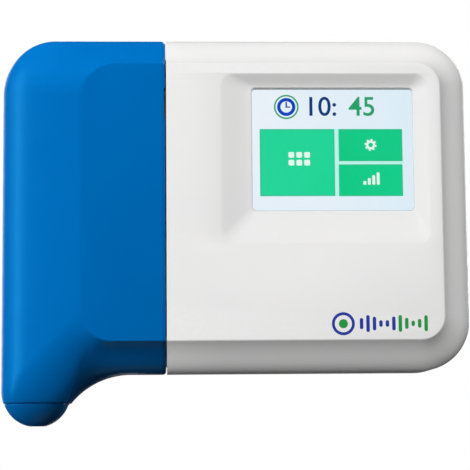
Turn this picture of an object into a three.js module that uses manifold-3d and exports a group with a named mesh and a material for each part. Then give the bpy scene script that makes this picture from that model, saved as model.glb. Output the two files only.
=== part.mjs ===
// Wall-mounted irrigation controller with a touch screen, built as an assembly of separate pieces.
// Millimetres. +X to the right seen from the front, +Y into the wall, +Z up.
// The origin is on the wall plane, behind the middle of the housing.

import * as THREE from 'three';
import { mergeVertices } from 'three/addons/utils/BufferGeometryUtils.js';
import Module from 'manifold-3d';

const wasm = await Module();
wasm.setup();

// ---------- driving dimensions ----------

const WIDTH = 178;               // overall width
const HEIGHT = 127.4;            // height of the housing without the foot
const DEPTH = 33;                // wall to the raised front face
const WALL = 2.2;                // moulded wall thickness
const GAP = 0.3;                 // clearance between neighbouring pieces
const SEAM_X = -26.26;           // line between the cover and the front housing

const BEVEL = 11.15;             // width of the bevel on the right, top and bottom
const DUCT_BEVEL = 31;           // width of the soft slope over the cable duct on the left
const CORNER_TL = 20;            // outer corner radii
const CORNER_TR = 18.6;
const CORNER_BR = 19;
const FACE_TL = 12.8;            // corner radii of the raised front face
const FACE_BL = 11.7;
const FACE_RIGHT = 9;

const FOOT_X = -76;              // middle of the foot
const FOOT_Z = -70;              // level where the rounded end of the foot starts
const FOOT_RX = 13;              // half width of the foot
const FOOT_RZ = 13.8;            // height of its rounded end
const FILLET_X = -40.2;          // where the hollow curve from the foot meets the bottom edge
const FILLET_R = 29.5;           // radius of that hollow curve
const CAP_Z = -75.2;             // top of the cable outlet cap

const PLATE = 2.5;               // thickness of the rear housing's plate
const RECESS_DEPTH = 2.9;        // depth of the sunk frame round the screen
const RECESS = { x0: -5.9, x1: 73.4, z0: -16.9, z1: 48.7, r: 4.5 };
const WINDOW = { x0: 6.25, x1: 67.65, z0: -3.75, z1: 43.5, r: 1.5 };

const BOARD_FRONT = -9.6;        // main board, front and back faces
const BOARD_BACK = -8;
const PART_Y = BOARD_FRONT - GAP;  // where the parts on the board start

const WAYS = 6;                  // ways in one terminal block
const PITCH = 5;                 // distance between ways
const BLOCKS = 3;
const BLOCK_LENGTH = 30.2;
const BLOCK_STEP = 30.6;
const BLOCK_X0 = -52;
const BLOCK_X1 = -37;
const BLOCK_TOP = -23.5;
const LEVER_X0 = -47.2;
const LEVER_X1 = -40.8;
const LEVER_RISE = 1.8;          // how far a lever stands out of its block
const SHROUD_TOP = -17.5;
const SHROUD_WALL = 1.8;

const SIDE = WIDTH / 2;
const TOP = HEIGHT / 2;

// ---------- solids: joining, cutting and plain shapes ----------

function toSolid(geometry) {
  const plain = geometry.clone();
  plain.deleteAttribute('normal');
  plain.deleteAttribute('uv');
  const merged = mergeVertices(plain, 1e-4);
  const mesh = new wasm.Mesh({
    numProp: 3,
    vertProperties: new Float32Array(merged.attributes.position.array),
    triVerts: new Uint32Array(merged.index.array),
  });
  return new wasm.Manifold(mesh);
}

function toGeometry(solid) {
  const mesh = solid.getMesh();
  const geometry = new THREE.BufferGeometry();
  geometry.setAttribute('position', new THREE.BufferAttribute(new Float32Array(mesh.vertProperties), 3));
  geometry.setIndex(new THREE.BufferAttribute(new Uint32Array(mesh.triVerts), 1));
  geometry.computeVertexNormals();
  return geometry;
}

const join = (first, ...others) => others.reduce((sum, solid) => sum.add(solid), first);
const cut = (first, ...others) => others.reduce((rest, solid) => rest.subtract(solid), first);

function box(x0, x1, y0, y1, z0, z1) {
  const geometry = new THREE.BoxGeometry(x1 - x0, y1 - y0, z1 - z0);
  geometry.translate((x0 + x1) / 2, (y0 + y1) / 2, (z0 + z1) / 2);
  return toSolid(geometry);
}

// a round post or bore along Y, from y0 to y1
function postY(x, z, radius, y0, y1, sides = 16) {
  const geometry = new THREE.CylinderGeometry(radius, radius, y1 - y0, sides);
  geometry.translate(x, (y0 + y1) / 2, z);
  return toSolid(geometry);
}

// a round bore along X, from x0 to x1
function boreX(y, z, radius, x0, x1, sides = 10) {
  const geometry = new THREE.CylinderGeometry(radius, radius, x1 - x0, sides);
  geometry.rotateZ(Math.PI / 2);
  geometry.translate((x0 + x1) / 2, y, z);
  return toSolid(geometry);
}

// a flat outline in X and Z, given as a shape, made y0 to y1 thick
function slab(shape, y0, y1, steps = 6) {
  const options = { depth: y1 - y0, bevelEnabled: false, curveSegments: steps };
  const geometry = new THREE.ExtrudeGeometry(shape, options);
  geometry.rotateX(Math.PI / 2);
  geometry.translate(0, y1, 0);
  return toSolid(geometry);
}

function roundedRectangle({ x0, x1, z0, z1, r }) {
  const shape = new THREE.Shape();
  shape.moveTo(x0 + r, z0);
  shape.lineTo(x1 - r, z0);
  shape.absarc(x1 - r, z0 + r, r, -Math.PI / 2, 0);
  shape.lineTo(x1, z1 - r);
  shape.absarc(x1 - r, z1 - r, r, 0, Math.PI / 2);
  shape.lineTo(x0 + r, z1);
  shape.absarc(x0 + r, z1 - r, r, Math.PI / 2, Math.PI);
  shape.lineTo(x0, z0 + r);
  shape.absarc(x0 + r, z0 + r, r, Math.PI, Math.PI * 1.5);
  return shape;
}

function grown({ x0, x1, z0, z1, r }, by) {
  return { x0: x0 - by, x1: x1 + by, z0: z0 - by, z1: z1 + by, r: Math.max(r + by, 0.3) };
}

const ringSlab = (outer, inner, y0, y1) => cut(
  slab(roundedRectangle(outer), y0, y1),
  slab(roundedRectangle(inner), y0 - 1, y1 + 1),
);

// a closed body through rings of points that all have the same count
function loft(rings) {
  const count = rings[0].length;
  const positions = [];
  rings.forEach((ring) => ring.forEach((p) => positions.push(p.x, p.y, p.z)));
  const faces = [];
  for (let r = 0; r < rings.length - 1; r += 1) {
    for (let i = 0; i < count; i += 1) {
      const a = r * count + i;
      const b = r * count + ((i + 1) % count);
      faces.push(a, b, b + count, a, b + count, a + count);
    }
  }
  const flat = (ring) => ring.map((p) => new THREE.Vector2(p.x, p.z));
  const last = (rings.length - 1) * count;
  THREE.ShapeUtils.triangulateShape(flat(rings[0]), []).forEach(([a, b, c]) => faces.push(c, b, a));
  THREE.ShapeUtils.triangulateShape(flat(rings.at(-1)), []).forEach(([a, b, c]) => {
    faces.push(last + a, last + b, last + c);
  });
  const geometry = new THREE.BufferGeometry();
  geometry.setAttribute('position', new THREE.Float32BufferAttribute(positions, 3));
  geometry.setIndex(faces);
  return toSolid(geometry);
}

// ---------- the outer form ----------

const line = (x0, z0, x1, z1) => (t) => new THREE.Vector2(x0 + (x1 - x0) * t, z0 + (z1 - z0) * t);

const arc = (cx, cz, rx, rz, from, to) => (t) => {
  const angle = from + (to - from) * t;
  return new THREE.Vector2(cx + rx * Math.cos(angle), cz + rz * Math.sin(angle));
};

// Stretches of the outline, each with its match on the edge of the raised face.
// duct goes from 0, where the bevel is narrow and crisp, to 1, where it is the soft slope of the duct.
function outlineStretches() {
  const left = -SIDE;
  const faceLeft = -SIDE + DUCT_BEVEL;
  const faceRight = SIDE - BEVEL;
  const faceTop = TOP - BEVEL;
  const quarter = Math.PI / 2;
  const filletZ = -TOP - FILLET_R;
  const footTurn = CAP_Z + 0.4;    // level where the rounded end gives way to the hollow curve
  const filletEnd = Math.PI - Math.asin((footTurn - filletZ) / FILLET_R);
  const footEnd = 2 * Math.PI - Math.asin((FOOT_Z - footTurn) / FOOT_RZ);
  const facePart = Math.PI + quarter * 0.6;
  return [
    { edge: line(FILLET_X, -TOP, SIDE - CORNER_BR, -TOP),
      face: line(faceLeft + FACE_BL, -faceTop, faceRight - FACE_RIGHT, -faceTop),
      steps: 1, duct: [0, 0] },
    { edge: arc(SIDE - CORNER_BR, -TOP + CORNER_BR, CORNER_BR, CORNER_BR, -quarter, 0),
      face: arc(faceRight - FACE_RIGHT, -faceTop + FACE_RIGHT, FACE_RIGHT, FACE_RIGHT, -quarter, 0),
      steps: 6, duct: [0, 0] },
    { edge: line(SIDE, -TOP + CORNER_BR, SIDE, TOP - CORNER_TR),
      face: line(faceRight, -faceTop + FACE_RIGHT, faceRight, faceTop - FACE_RIGHT),
      steps: 1, duct: [0, 0] },
    { edge: arc(SIDE - CORNER_TR, TOP - CORNER_TR, CORNER_TR, CORNER_TR, 0, quarter),
      face: arc(faceRight - FACE_RIGHT, faceTop - FACE_RIGHT, FACE_RIGHT, FACE_RIGHT, 0, quarter),
      steps: 6, duct: [0, 0] },
    { edge: line(SIDE - CORNER_TR, TOP, left + CORNER_TL, TOP),
      face: line(faceRight - FACE_RIGHT, faceTop, faceLeft + FACE_TL, faceTop),
      steps: 1, duct: [0, 0] },
    { edge: arc(left + CORNER_TL, TOP - CORNER_TL, CORNER_TL, CORNER_TL, quarter, Math.PI),
      face: arc(faceLeft + FACE_TL, faceTop - FACE_TL, FACE_TL, FACE_TL, quarter, Math.PI),
      steps: 8, duct: [0, 1] },
    { edge: line(left, TOP - CORNER_TL, left, FOOT_Z),
      face: line(faceLeft, faceTop - FACE_TL, faceLeft, -faceTop + FACE_BL),
      steps: 3, duct: [1, 1] },
    { edge: arc(FOOT_X, FOOT_Z, FOOT_RX, FOOT_RZ, Math.PI, footEnd),
      face: arc(faceLeft + FACE_BL, -faceTop + FACE_BL, FACE_BL, FACE_BL, Math.PI, facePart),
      steps: 12, duct: [1, 1] },
    { edge: arc(FILLET_X, filletZ, FILLET_R, FILLET_R, filletEnd, quarter),
      face: arc(faceLeft + FACE_BL, -faceTop + FACE_BL, FACE_BL, FACE_BL, facePart, 3 * quarter),
      steps: 8, duct: [1, 0] },
  ];
}

function outlinePoints() {
  const points = [];
  outlineStretches().forEach(({ edge, face, steps, duct }) => {
    for (let i = 0; i < steps; i += 1) {
      const t = i / steps;
      const ease = t * t * (3 - 2 * t);
      points.push({ edge: edge(t), face: face(t), duct: duct[0] + (duct[1] - duct[0]) * ease });
    }
  });
  return points;
}

// the outline moved inwards by a distance, as points in X and Z
function insetEdge(points, inset) {
  const count = points.length;
  return points.map(({ edge }, i) => {
    const before = points[(i + count - 1) % count].edge;
    const after = points[(i + 1) % count].edge;
    const inTangent = edge.clone().sub(before).normalize();
    const outTangent = after.clone().sub(edge).normalize();
    const tangent = inTangent.clone().add(outTangent).normalize();
    const stretch = 1 / Math.max(tangent.dot(outTangent), 0.7);
    return new THREE.Vector2(edge.x - tangent.y * inset * stretch, edge.y + tangent.x * inset * stretch);
  });
}

// The bevel is a curve from the rim to the raised face: the depth of its rim and of its shoulder,
// how far across the handle of its slope lies, and the depth of that handle.
const CURVE = { crisp: [-20, -27.5, 0.67, -27], duct: [-13, -26, 0.45, -29.4] };
const RINGS = 7;                 // rings of points up the bevel

// the solid inside the outer form, taken in by an inset, from the wall plane to the raised face
function formSolid(inset = 0) {
  const points = outlinePoints();
  const edges = insetEdge(points, inset);
  const rings = [edges.map((p) => new THREE.Vector3(p.x, 0, p.y))];
  for (let r = 0; r <= RINGS; r += 1) {
    const t = r / RINGS;
    rings.push(points.map((point, i) => {
      const shape = CURVE.crisp.map((value, n) => value + (CURVE.duct[n] - value) * point.duct);
      const [rim, shoulder, across, slope] = shape;
      const part = 3 * (1 - t) * t * t * across + t * t * t;
      const depth = (1 - t) ** 3 * rim + 3 * (1 - t) ** 2 * t * shoulder + 3 * (1 - t) * t * t * slope
        - t * t * t * DEPTH;
      const face = point.face;
      const x = edges[i].x + (face.x - edges[i].x) * part;
      const z = edges[i].y + (face.y - edges[i].y) * part;
      return new THREE.Vector3(x, depth + inset, z);
    }));
  }
  return loft(rings);
}

// the flat outline taken in by an inset, made y0 to y1 thick
function outlineSlab(inset, y0, y1) {
  const edges = insetEdge(outlinePoints(), inset);
  const ring = (y) => edges.map((p) => new THREE.Vector3(p.x, y, p.y));
  return loft([ring(y1), ring(y0)]);
}

const FAR = 200;
const rightOf = (x, yMax) => box(x, FAR, -FAR, yMax, -FAR, FAR);
const leftOf = (x, yMax) => box(-FAR, x, -FAR, yMax, -FAR, FAR);

// ---------- shared places ----------

const HOUSING_SCREWS = [[-17, TOP - 7.2], [-17, -TOP + 7.2], [79.5, 50], [79.5, -50]];
const DISPLAY_SCREWS = [[-4.2, 44], [-4.2, -5], [76.6, 44], [76.6, -5]];
const BOARD_SCREWS = [[-31, 45.5], [-31, -45.5], [66, 45], [66, -45]];
const SHROUD_SCREWS = [[-40, 51.6], [-40, -51.6]];
const KEYHOLE = { x: 27, z: 43, head: 4.6, slot: 2.3, rise: 8 };
const WALL_SCREWS = [[-72, 46], [-72, -40]];
const LABEL_BACK = { x0: -10, x1: 50, z0: -34, z1: -4, r: 1.5 };

const blockZ = (block) => (1 - block) * BLOCK_STEP;
const wayZ = (block, way) => blockZ(block) + ((WAYS - 1) / 2 - way) * PITCH;

// A screw along Y, from the outer face of its head to its tip. A negative head depth turns it to
// face the wall.
function screw([x, z], headY, headDepth, headRadius, tipY, shankRadius) {
  const headEnd = headY + headDepth;
  const along = (a, b) => [Math.min(a, b), Math.max(a, b)];
  const head = postY(x, z, headRadius, ...along(headY, headEnd), 14);
  const shank = postY(x, z, shankRadius, ...along(headEnd, tipY), 8);
  const slotDepth = along(headY - headDepth, headY + headDepth / 2);
  const slot = (dx, dz) => box(x - dx, x + dx, ...slotDepth, z - dz, z + dz);
  const reach = headRadius * 0.55;
  return cut(join(head, shank), slot(reach, 0.25), slot(0.25, reach));
}

// ---------- housing ----------

function frontHousing() {
  const outer = formSolid().intersect(rightOf(SEAM_X + GAP / 2, -PLATE - 0.8));
  const hollow = formSolid(WALL).intersect(rightOf(SEAM_X + GAP / 2 + 2, 1));
  const { x0, x1, z0, z1 } = RECESS;
  const backing = box(x0 - 2, x1 + 2.8, -DEPTH + 1.5, -27.6, z0 - 2.5, z1 + 2.4);
  let shell = join(cut(outer, hollow), backing);
  HOUSING_SCREWS.forEach(([x, z]) => {
    shell = join(shell, postY(x, z, 3.2, -30, -6.9).intersect(outer));
  });
  DISPLAY_SCREWS.forEach(([x, z]) => {
    shell = join(shell, postY(x, z, 2.2, -31, -24, 12).intersect(outer));
  });
  HOUSING_SCREWS.forEach(([x, z]) => {
    shell = cut(shell, postY(x, z, 1.6, -20, -6, 10));
  });
  DISPLAY_SCREWS.forEach(([x, z]) => {
    shell = cut(shell, postY(x, z, 1.3, -28.6, -23, 8));
  });
  const shroudGap = box(SEAM_X - 1, SEAM_X + 3, SHROUD_TOP - GAP, 1, -57, 57);
  const lensPocket = box(2.9, 71, -29.5, -27, -7.2, 47);
  return cut(shell, recessSolid(), slab(roundedRectangle(WINDOW), -DEPTH, -28), lensPocket, shroudGap);
}

// the sunk frame: a shallow funnel from the raised face down to the window
function recessSolid() {
  const ring = (rectangle, y) => roundedRectangle(rectangle).getPoints(3).slice(0, -1)
    .map((p) => new THREE.Vector3(p.x, y, p.y));
  const floor = grown(WINDOW, 0.35);
  const slopeOut = 0.35;
  const top = grown(RECESS, slopeOut);
  return loft([ring(floor, -DEPTH + RECESS_DEPTH), ring(RECESS, -DEPTH), ring(top, -DEPTH - 0.2)]);
}

function rearHousing() {
  const right = outlineSlab(0, -PLATE, 0).intersect(rightOf(SEAM_X + GAP / 2, 1));
  const bay = box(-FAR, SEAM_X + 1, -FAR, 1, -TOP + 2.9, FAR);
  const left = outlineSlab(2.9, -PLATE, 0).intersect(bay);
  const lipBand = cut(outlineSlab(WALL + 0.35, -6.5, -PLATE + 0.5), outlineSlab(WALL + 1.85, -7, 0));
  const rightLip = lipBand.intersect(rightOf(SEAM_X + 4.5, 1));
  const trayBand = cut(outlineSlab(2.9, -5, -PLATE + 0.5), outlineSlab(4.4, -6, 0));
  const leftLip = trayBand.intersect(box(-FAR, SEAM_X - 2, -FAR, 1, -52, FAR));
  const post = ([x, z], radius, y) => postY(x, z, radius, y, -PLATE + 0.5);
  const posts = [
    ...HOUSING_SCREWS.map((place) => post(place, 3.2, -6.6)),
    ...BOARD_SCREWS.map((place) => post(place, 3, BOARD_BACK + GAP)),
    ...SHROUD_SCREWS.map((place) => post(place, 2.4, SHROUD_TOP + SHROUD_WALL + GAP)),
    ...WALL_SCREWS.map((place) => post(place, 5, -PLATE - 1.2)),
  ];
  const holes = [
    ...HOUSING_SCREWS.map(([x, z]) => postY(x, z, 1.6, -8, 1, 10)),
    ...HOUSING_SCREWS.map(([x, z]) => postY(x, z, 3, -1.5, 1)),
    ...BOARD_SCREWS.map(([x, z]) => postY(x, z, 1.5, -9, -1.5, 8)),
    ...SHROUD_SCREWS.map(([x, z]) => postY(x, z, 1.3, -16, -6, 8)),
    ...WALL_SCREWS.map(([x, z]) => postY(x, z, 2.4, -5, 1)),
    ...WALL_SCREWS.map(([x, z]) => postY(x, z, 3.6, -5, -2.9)),
  ];
  const rabbet = (z0, z1) => box(-FAR, SEAM_X - 0.2, -1.4, 1, z0, z1);
  const rabbets = [rabbet(TOP - 4.5, FAR), rabbet(-FAR, -TOP + 4.5)];
  const labelPocket = slab(roundedRectangle(grown(LABEL_BACK, 0.4)), -0.55, 1, 3);
  const body = join(right, left, rightLip, leftLip, tieAnchor(), ...posts);
  return cut(body, ...holes, ...rabbets, keyhole(), labelPocket);
}

// a bridge on the plate that a cable tie goes round
function tieAnchor() {
  const bridge = box(-77, -67, -6, -PLATE + 0.5, -52.5, -48.5);
  return cut(bridge, box(-74.4, -69.6, -4.6, -PLATE, -54, -47));
}

function keyhole() {
  const { x, z, head, slot, rise } = KEYHOLE;
  const neck = box(x - slot, x + slot, -PLATE - 1, 1, z, z + rise);
  return join(postY(x, z, head, -PLATE - 1, 1), neck, postY(x, z + rise, slot, -PLATE - 1, 1));
}

function ratingLabel() {
  return slab(roundedRectangle(LABEL_BACK), -0.25, -0.05, 3);
}

// ---------- cover and cap ----------

const COVER_X = SEAM_X - GAP / 2;
const FOOT_END = CAP_Z + 0.4;    // lower end of the cover's foot

function wiringCover() {
  const outer = formSolid().intersect(leftOf(COVER_X, -0.5));
  const shell = cut(outer, formSolid(WALL)).intersect(box(-FAR, FAR, -FAR, FAR, FOOT_END, FAR));
  const hook = (x0, z0, z1) => box(x0, SEAM_X - 4, -1.1, -0.5, z0, z1);
  return join(shell, hook(-64, TOP - 4, TOP - 1.5), hook(-41, -TOP + 1.5, -TOP + 4));
}

// a straight post with the section that the form has at the foot's end, taken in by an inset
function footPost(inset, z0, z1) {
  const thin = 0.1;
  const slice = formSolid(inset).intersect(box(-FAR, FAR, -FAR, -0.8, FOOT_END, FOOT_END + thin));
  const geometry = toGeometry(slice);
  geometry.translate(0, 0, -FOOT_END);
  geometry.scale(1, 1, (z1 - z0) / thin);
  geometry.translate(0, 0, z0);
  return toSolid(geometry);
}

// the cap is a rounded shell with a straight spigot that plugs up into the foot
function cableOutletCap() {
  const below = (z) => box(-FAR, FAR, -FAR, -0.8, -FAR, z);
  const dome = formSolid(0.5).intersect(below(CAP_Z));
  const spigot = footPost(WALL + 0.35, CAP_Z - 2, CAP_Z + 3);
  const bore = footPost(WALL + 1.85, CAP_Z - 3, CAP_Z + 4);
  const hollow = formSolid(2.3).intersect(below(CAP_Z - 2));
  return cut(join(dome, spigot), bore, hollow);
}

// ---------- screen ----------

const LENS = { x0: 3.5, x1: 70.4, z0: -6.6, z1: 46.4, r: 1 };

function touchPanel() {
  return slab(roundedRectangle(LENS), -29.2, -28.15, 2);
}

function panelGasket() {
  return ringSlab(grown(LENS, -0.2), grown(WINDOW, 0.6), -27.85, -27.6);
}

function displayModule() {
  const frame = slab(roundedRectangle({ x0: 1.5, x1: 73.5, z0: -8, z1: 47, r: 0.8 }), -27.3, -24, 2);
  return cut(frame, box(5.5, 68.4, -28, -27, -4.6, 44.4));
}

function displayBracket() {
  const outline = { x0: -7.6, x1: 79, z0: -9, z1: 47.5, r: 4 };
  const plate = ringSlab(outline, { x0: 9, x1: 66, z0: 2, z1: 38, r: 3 }, -23.7, -22.9);
  return cut(plate, ...DISPLAY_SCREWS.map(([x, z]) => postY(x, z, 1.4, -24, -22, 10)));
}

const displayScrew = (place) => screw(place, -21.2, -1.3, 2, -27.8, 1);

function displayRibbon() {
  const path = new THREE.CatmullRomCurve3([
    new THREE.Vector3(39, -25.6, -8.4),
    new THREE.Vector3(39, -25.2, -11.2),
    new THREE.Vector3(39, -22, -13.4),
    new THREE.Vector3(39, -17, -12.8),
    new THREE.Vector3(39, -13, -12),
  ]);
  const middle = path.getPoints(10);
  const along = middle.map((_, i) => {
    const ahead = middle[Math.min(i + 1, middle.length - 1)];
    const behind = middle[Math.max(i - 1, 0)];
    const t = ahead.clone().sub(behind).normalize();
    return new THREE.Vector2(t.y, t.z);
  });
  const shape = new THREE.Shape();
  const half = 0.15;
  const side = (i, way) => [middle[i].y - along[i].y * half * way, middle[i].z + along[i].x * half * way];
  shape.moveTo(...side(0, 1));
  middle.slice(1).forEach((_, i) => shape.lineTo(...side(i + 1, 1)));
  [...middle.keys()].reverse().forEach((i) => shape.lineTo(...side(i, -1)));
  const geometry = new THREE.ExtrudeGeometry(shape, { depth: 20, bevelEnabled: false });
  geometry.applyMatrix4(new THREE.Matrix4().makeBasis(
    new THREE.Vector3(0, 1, 0), new THREE.Vector3(0, 0, 1), new THREE.Vector3(1, 0, 0),
  ));
  geometry.translate(29, 0, 0);
  return toSolid(geometry);
}

// ---------- circuit board ----------

function mainCircuitBoard() {
  const outline = { x0: -53.5, x1: 72, z0: -48.5, z1: 48.5, r: 1.5 };
  const board = slab(roundedRectangle(outline), BOARD_FRONT, BOARD_BACK, 2);
  const holes = BOARD_SCREWS.map(([x, z]) => postY(x, z, 1.6, -10, -7, 10));
  return cut(board, ...holes);
}

const boardScrew = (place) => screw(place, -11.3, 1.4, 2.5, -3, 1.1);
const housingScrew = (place) => screw(place, -0.2, -1, 2.6, -16, 1.25);

function onBoard(x0, x1, z0, z1, height, lift = 0) {
  return box(x0, x1, PART_Y - lift - height, PART_Y - lift, z0, z1);
}

const ribbonConnector = () => onBoard(28, 50, -13.8, -10.2, 2.6);
const memoryChip = () => onBoard(30, 38, -38, -32, 1.2);
const radioBoard = () => onBoard(45, 63, -45, -19, 0.9);
const radioShield = () => onBoard(46.5, 61.5, -37, -21, 2.2, 1.2);
const rectifier = () => onBoard(-15, -7, 14, 22, 3);

function processor() {
  const corner = postY(10.8, -24.8, 0.5, PART_Y - 2, PART_Y - 1.3, 8);
  return cut(onBoard(10, 24, -38, -24, 1.5), corner);
}

// a lathe profile, turned about the Y axis and stood on the board
function turned(profile, x, z, sides) {
  const points = profile.map(([radius, height]) => new THREE.Vector2(radius, -height));
  const geometry = new THREE.LatheGeometry(points, sides);
  geometry.translate(x, PART_Y, z);
  return toSolid(geometry);
}

function inductor() {
  const profile = [[0, 7], [6, 7], [6, 5.6], [4.6, 5.2], [4.6, 1.8], [6, 1.4], [6, 0], [0, 0]];
  return turned(profile, -12, -34, 18);
}

const CAPACITORS = [
  { z: -16, radius: 5, height: 12 },
  { z: -3, radius: 5, height: 12 },
  { z: 8, radius: 3.2, height: 7 },
];

function capacitor({ z, radius, height }) {
  const profile = [[0, height - 0.4], [radius * 0.75, height - 0.4], [radius * 0.8, height],
    [radius, height - 0.5], [radius, 1.8], [radius * 0.93, 1.4], [radius, 1], [radius, 0], [0, 0]];
  return turned(profile, -12, z, 16);
}

function resettableFuse() {
  const geometry = new THREE.CylinderGeometry(3.6, 3.6, 2, 16);
  geometry.rotateZ(Math.PI / 2);
  geometry.translate(-11, PART_Y - 3.6, 29);
  return toSolid(geometry);
}

// ---------- wiring terminals ----------

function terminalBlock(block) {
  const middle = blockZ(block);
  const half = BLOCK_LENGTH / 2;
  const body = box(BLOCK_X0, BLOCK_X1, BLOCK_TOP, PART_Y, middle - half, middle + half);
  const ends = [middle - half - 1, middle + half + 1];
  const cuts = [box(BLOCK_X1 - 2, BLOCK_X1 + 1, BLOCK_TOP - 1, BLOCK_TOP + 2.5, ...ends)];
  for (let way = 0; way < WAYS; way += 1) {
    const z = wayZ(block, way);
    cuts.push(box(LEVER_X0 - GAP, LEVER_X1 + GAP, BLOCK_TOP - 1, -13.8, z - 1.5, z + 1.5));
    cuts.push(boreX(-20.4, z, 1.4, BLOCK_X0 - 1, LEVER_X0 + 0.5));
  }
  return cut(body, ...cuts);
}

function terminalLever(block, way) {
  const z = wayZ(block, way);
  const front = BLOCK_TOP - LEVER_RISE;
  const body = box(LEVER_X0, LEVER_X1, front, -20, z - 1.2, z + 1.2);
  const driverSlot = box(-45, -43, front - 1, front + 0.7, z - 0.7, z + 0.7);
  const slope = box(LEVER_X0 - 1, LEVER_X0 + 2.2, -21.9, -19, z - 2, z + 2);
  return cut(body, driverSlot, slope);
}

function terminalShroud() {
  const top = SHROUD_TOP;
  const under = SHROUD_TOP + SHROUD_WALL;
  const plate = box(-57, -24.3, top, under, -56.4, 56.4);
  const leftWall = box(-57, -55, under - 0.5, -PLATE - GAP, -56.4, 56.4);
  const endWall = (z0, z1) => box(-57, -24.3, under - 0.5, -PLATE - GAP, z0, z1);
  const opening = box(BLOCK_X0 - 0.5, BLOCK_X1 + 0.5, top - 1, under + 1, -46.3, 46.3);
  const holes = SHROUD_SCREWS.map(([x, z]) => postY(x, z, 1.5, -19, -15, 10));
  return cut(join(plate, leftWall, endWall(54.6, 56.4), endWall(-56.4, -54.6)), opening, ...holes);
}

const shroudScrew = (place) => screw(place, -19.2, 1.4, 2.3, -8, 1);

function terminalLabel() {
  return box(-35.4, -28.6, SHROUD_TOP - 0.5, SHROUD_TOP - GAP, -45.6, 45.6);
}

// ---------- assembly ----------

function paint(color, roughness, metalness = 0) {
  return new THREE.MeshStandardMaterial({ color, roughness, metalness });
}

const WHITE = paint(0xe8e8e8, 0.45);
const BLUE = paint(0x0a6fc0, 0.4);
const GLASS = paint(0xf4f7fa, 0.1);
const FOAM = paint(0x303030, 0.9);
const STEEL = paint(0xa8abb0, 0.35, 1);
const BOARD = paint(0x1d6b3a, 0.5);
const CHIP = paint(0x1b1b1d, 0.6);
const TIN = paint(0xc2c4c6, 0.3, 1);
const ORANGE = paint(0xe8701c, 0.45);
const GREY = paint(0x6a6e73, 0.5);
const PALE = paint(0xd9dadb, 0.55);
const PAPER = paint(0xf2f2ee, 0.8);
const AMBER = paint(0xb87a3a, 0.5);
const CAN = paint(0x2a2d38, 0.4, 0.3);

const controller = new THREE.Group();

function addNode(name, solid, material) {
  const mesh = new THREE.Mesh(toGeometry(solid), material);
  mesh.name = name;
  controller.add(mesh);
}

function addCopies(name, places, make, material) {
  places.forEach((place, i) => addNode(`${name}_${i + 1}`, make(place), material));
}

const twoDigits = (number) => String(number).padStart(2, '0');

addNode('front_housing', frontHousing(), WHITE);
addNode('rear_housing', rearHousing(), WHITE);
addNode('rating_label', ratingLabel(), PAPER);
addNode('wiring_cover', wiringCover(), BLUE);
addNode('cable_outlet_cap', cableOutletCap(), BLUE);
addNode('touch_panel', touchPanel(), GLASS);
addNode('panel_gasket', panelGasket(), FOAM);
addNode('display_module', displayModule(), STEEL);
addNode('display_bracket', displayBracket(), STEEL);
addNode('display_ribbon', displayRibbon(), AMBER);
addNode('ribbon_connector', ribbonConnector(), PALE);
addNode('main_circuit_board', mainCircuitBoard(), BOARD);
addNode('processor', processor(), CHIP);
addNode('memory_chip', memoryChip(), CHIP);
addNode('radio_board', radioBoard(), BOARD);
addNode('radio_shield', radioShield(), TIN);
addNode('rectifier', rectifier(), CHIP);
addNode('inductor', inductor(), CHIP);
addNode('resettable_fuse', resettableFuse(), AMBER);
addNode('terminal_shroud', terminalShroud(), PALE);
addNode('terminal_label', terminalLabel(), PAPER);
addCopies('housing_screw', HOUSING_SCREWS, housingScrew, STEEL);
addCopies('display_screw', DISPLAY_SCREWS, displayScrew, STEEL);
addCopies('board_screw', BOARD_SCREWS, boardScrew, STEEL);
addCopies('shroud_screw', SHROUD_SCREWS, shroudScrew, STEEL);
addCopies('capacitor', CAPACITORS, capacitor, CAN);
for (let block = 0; block < BLOCKS; block += 1) {
  addNode(`terminal_block_${block + 1}`, terminalBlock(block), GREY);
  for (let way = 0; way < WAYS; way += 1) {
    addNode(`lever_${twoDigits(block * WAYS + way + 1)}`, terminalLever(block, way), ORANGE);
  }
}

export default controller;
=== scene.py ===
import math

import bmesh
import bpy
from mathutils import Matrix, Vector, geometry


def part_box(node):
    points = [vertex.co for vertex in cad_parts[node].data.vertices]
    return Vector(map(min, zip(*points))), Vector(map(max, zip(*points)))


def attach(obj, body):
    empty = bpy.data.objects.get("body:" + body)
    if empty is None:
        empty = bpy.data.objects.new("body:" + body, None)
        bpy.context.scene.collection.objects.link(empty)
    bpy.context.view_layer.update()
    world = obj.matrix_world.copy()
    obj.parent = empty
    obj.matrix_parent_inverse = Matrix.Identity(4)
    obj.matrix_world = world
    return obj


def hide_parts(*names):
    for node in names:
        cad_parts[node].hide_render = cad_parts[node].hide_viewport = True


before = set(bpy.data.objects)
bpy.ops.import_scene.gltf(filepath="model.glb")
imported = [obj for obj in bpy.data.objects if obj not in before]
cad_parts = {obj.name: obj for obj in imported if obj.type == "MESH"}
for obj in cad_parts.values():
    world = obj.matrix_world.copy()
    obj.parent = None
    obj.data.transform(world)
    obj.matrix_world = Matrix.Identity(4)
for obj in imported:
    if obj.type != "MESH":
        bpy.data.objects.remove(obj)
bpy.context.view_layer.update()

# An irrigation controller for a wall: white housing, blue wiring cover with a cable foot, and a
# touch screen.
# Metres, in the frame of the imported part: +X to the right, +Y into the wall, +Z up.

MM = 0.001
QUARTER = math.pi / 2

# ---------- driving dimensions, from the frame where it gives them ----------

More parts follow.
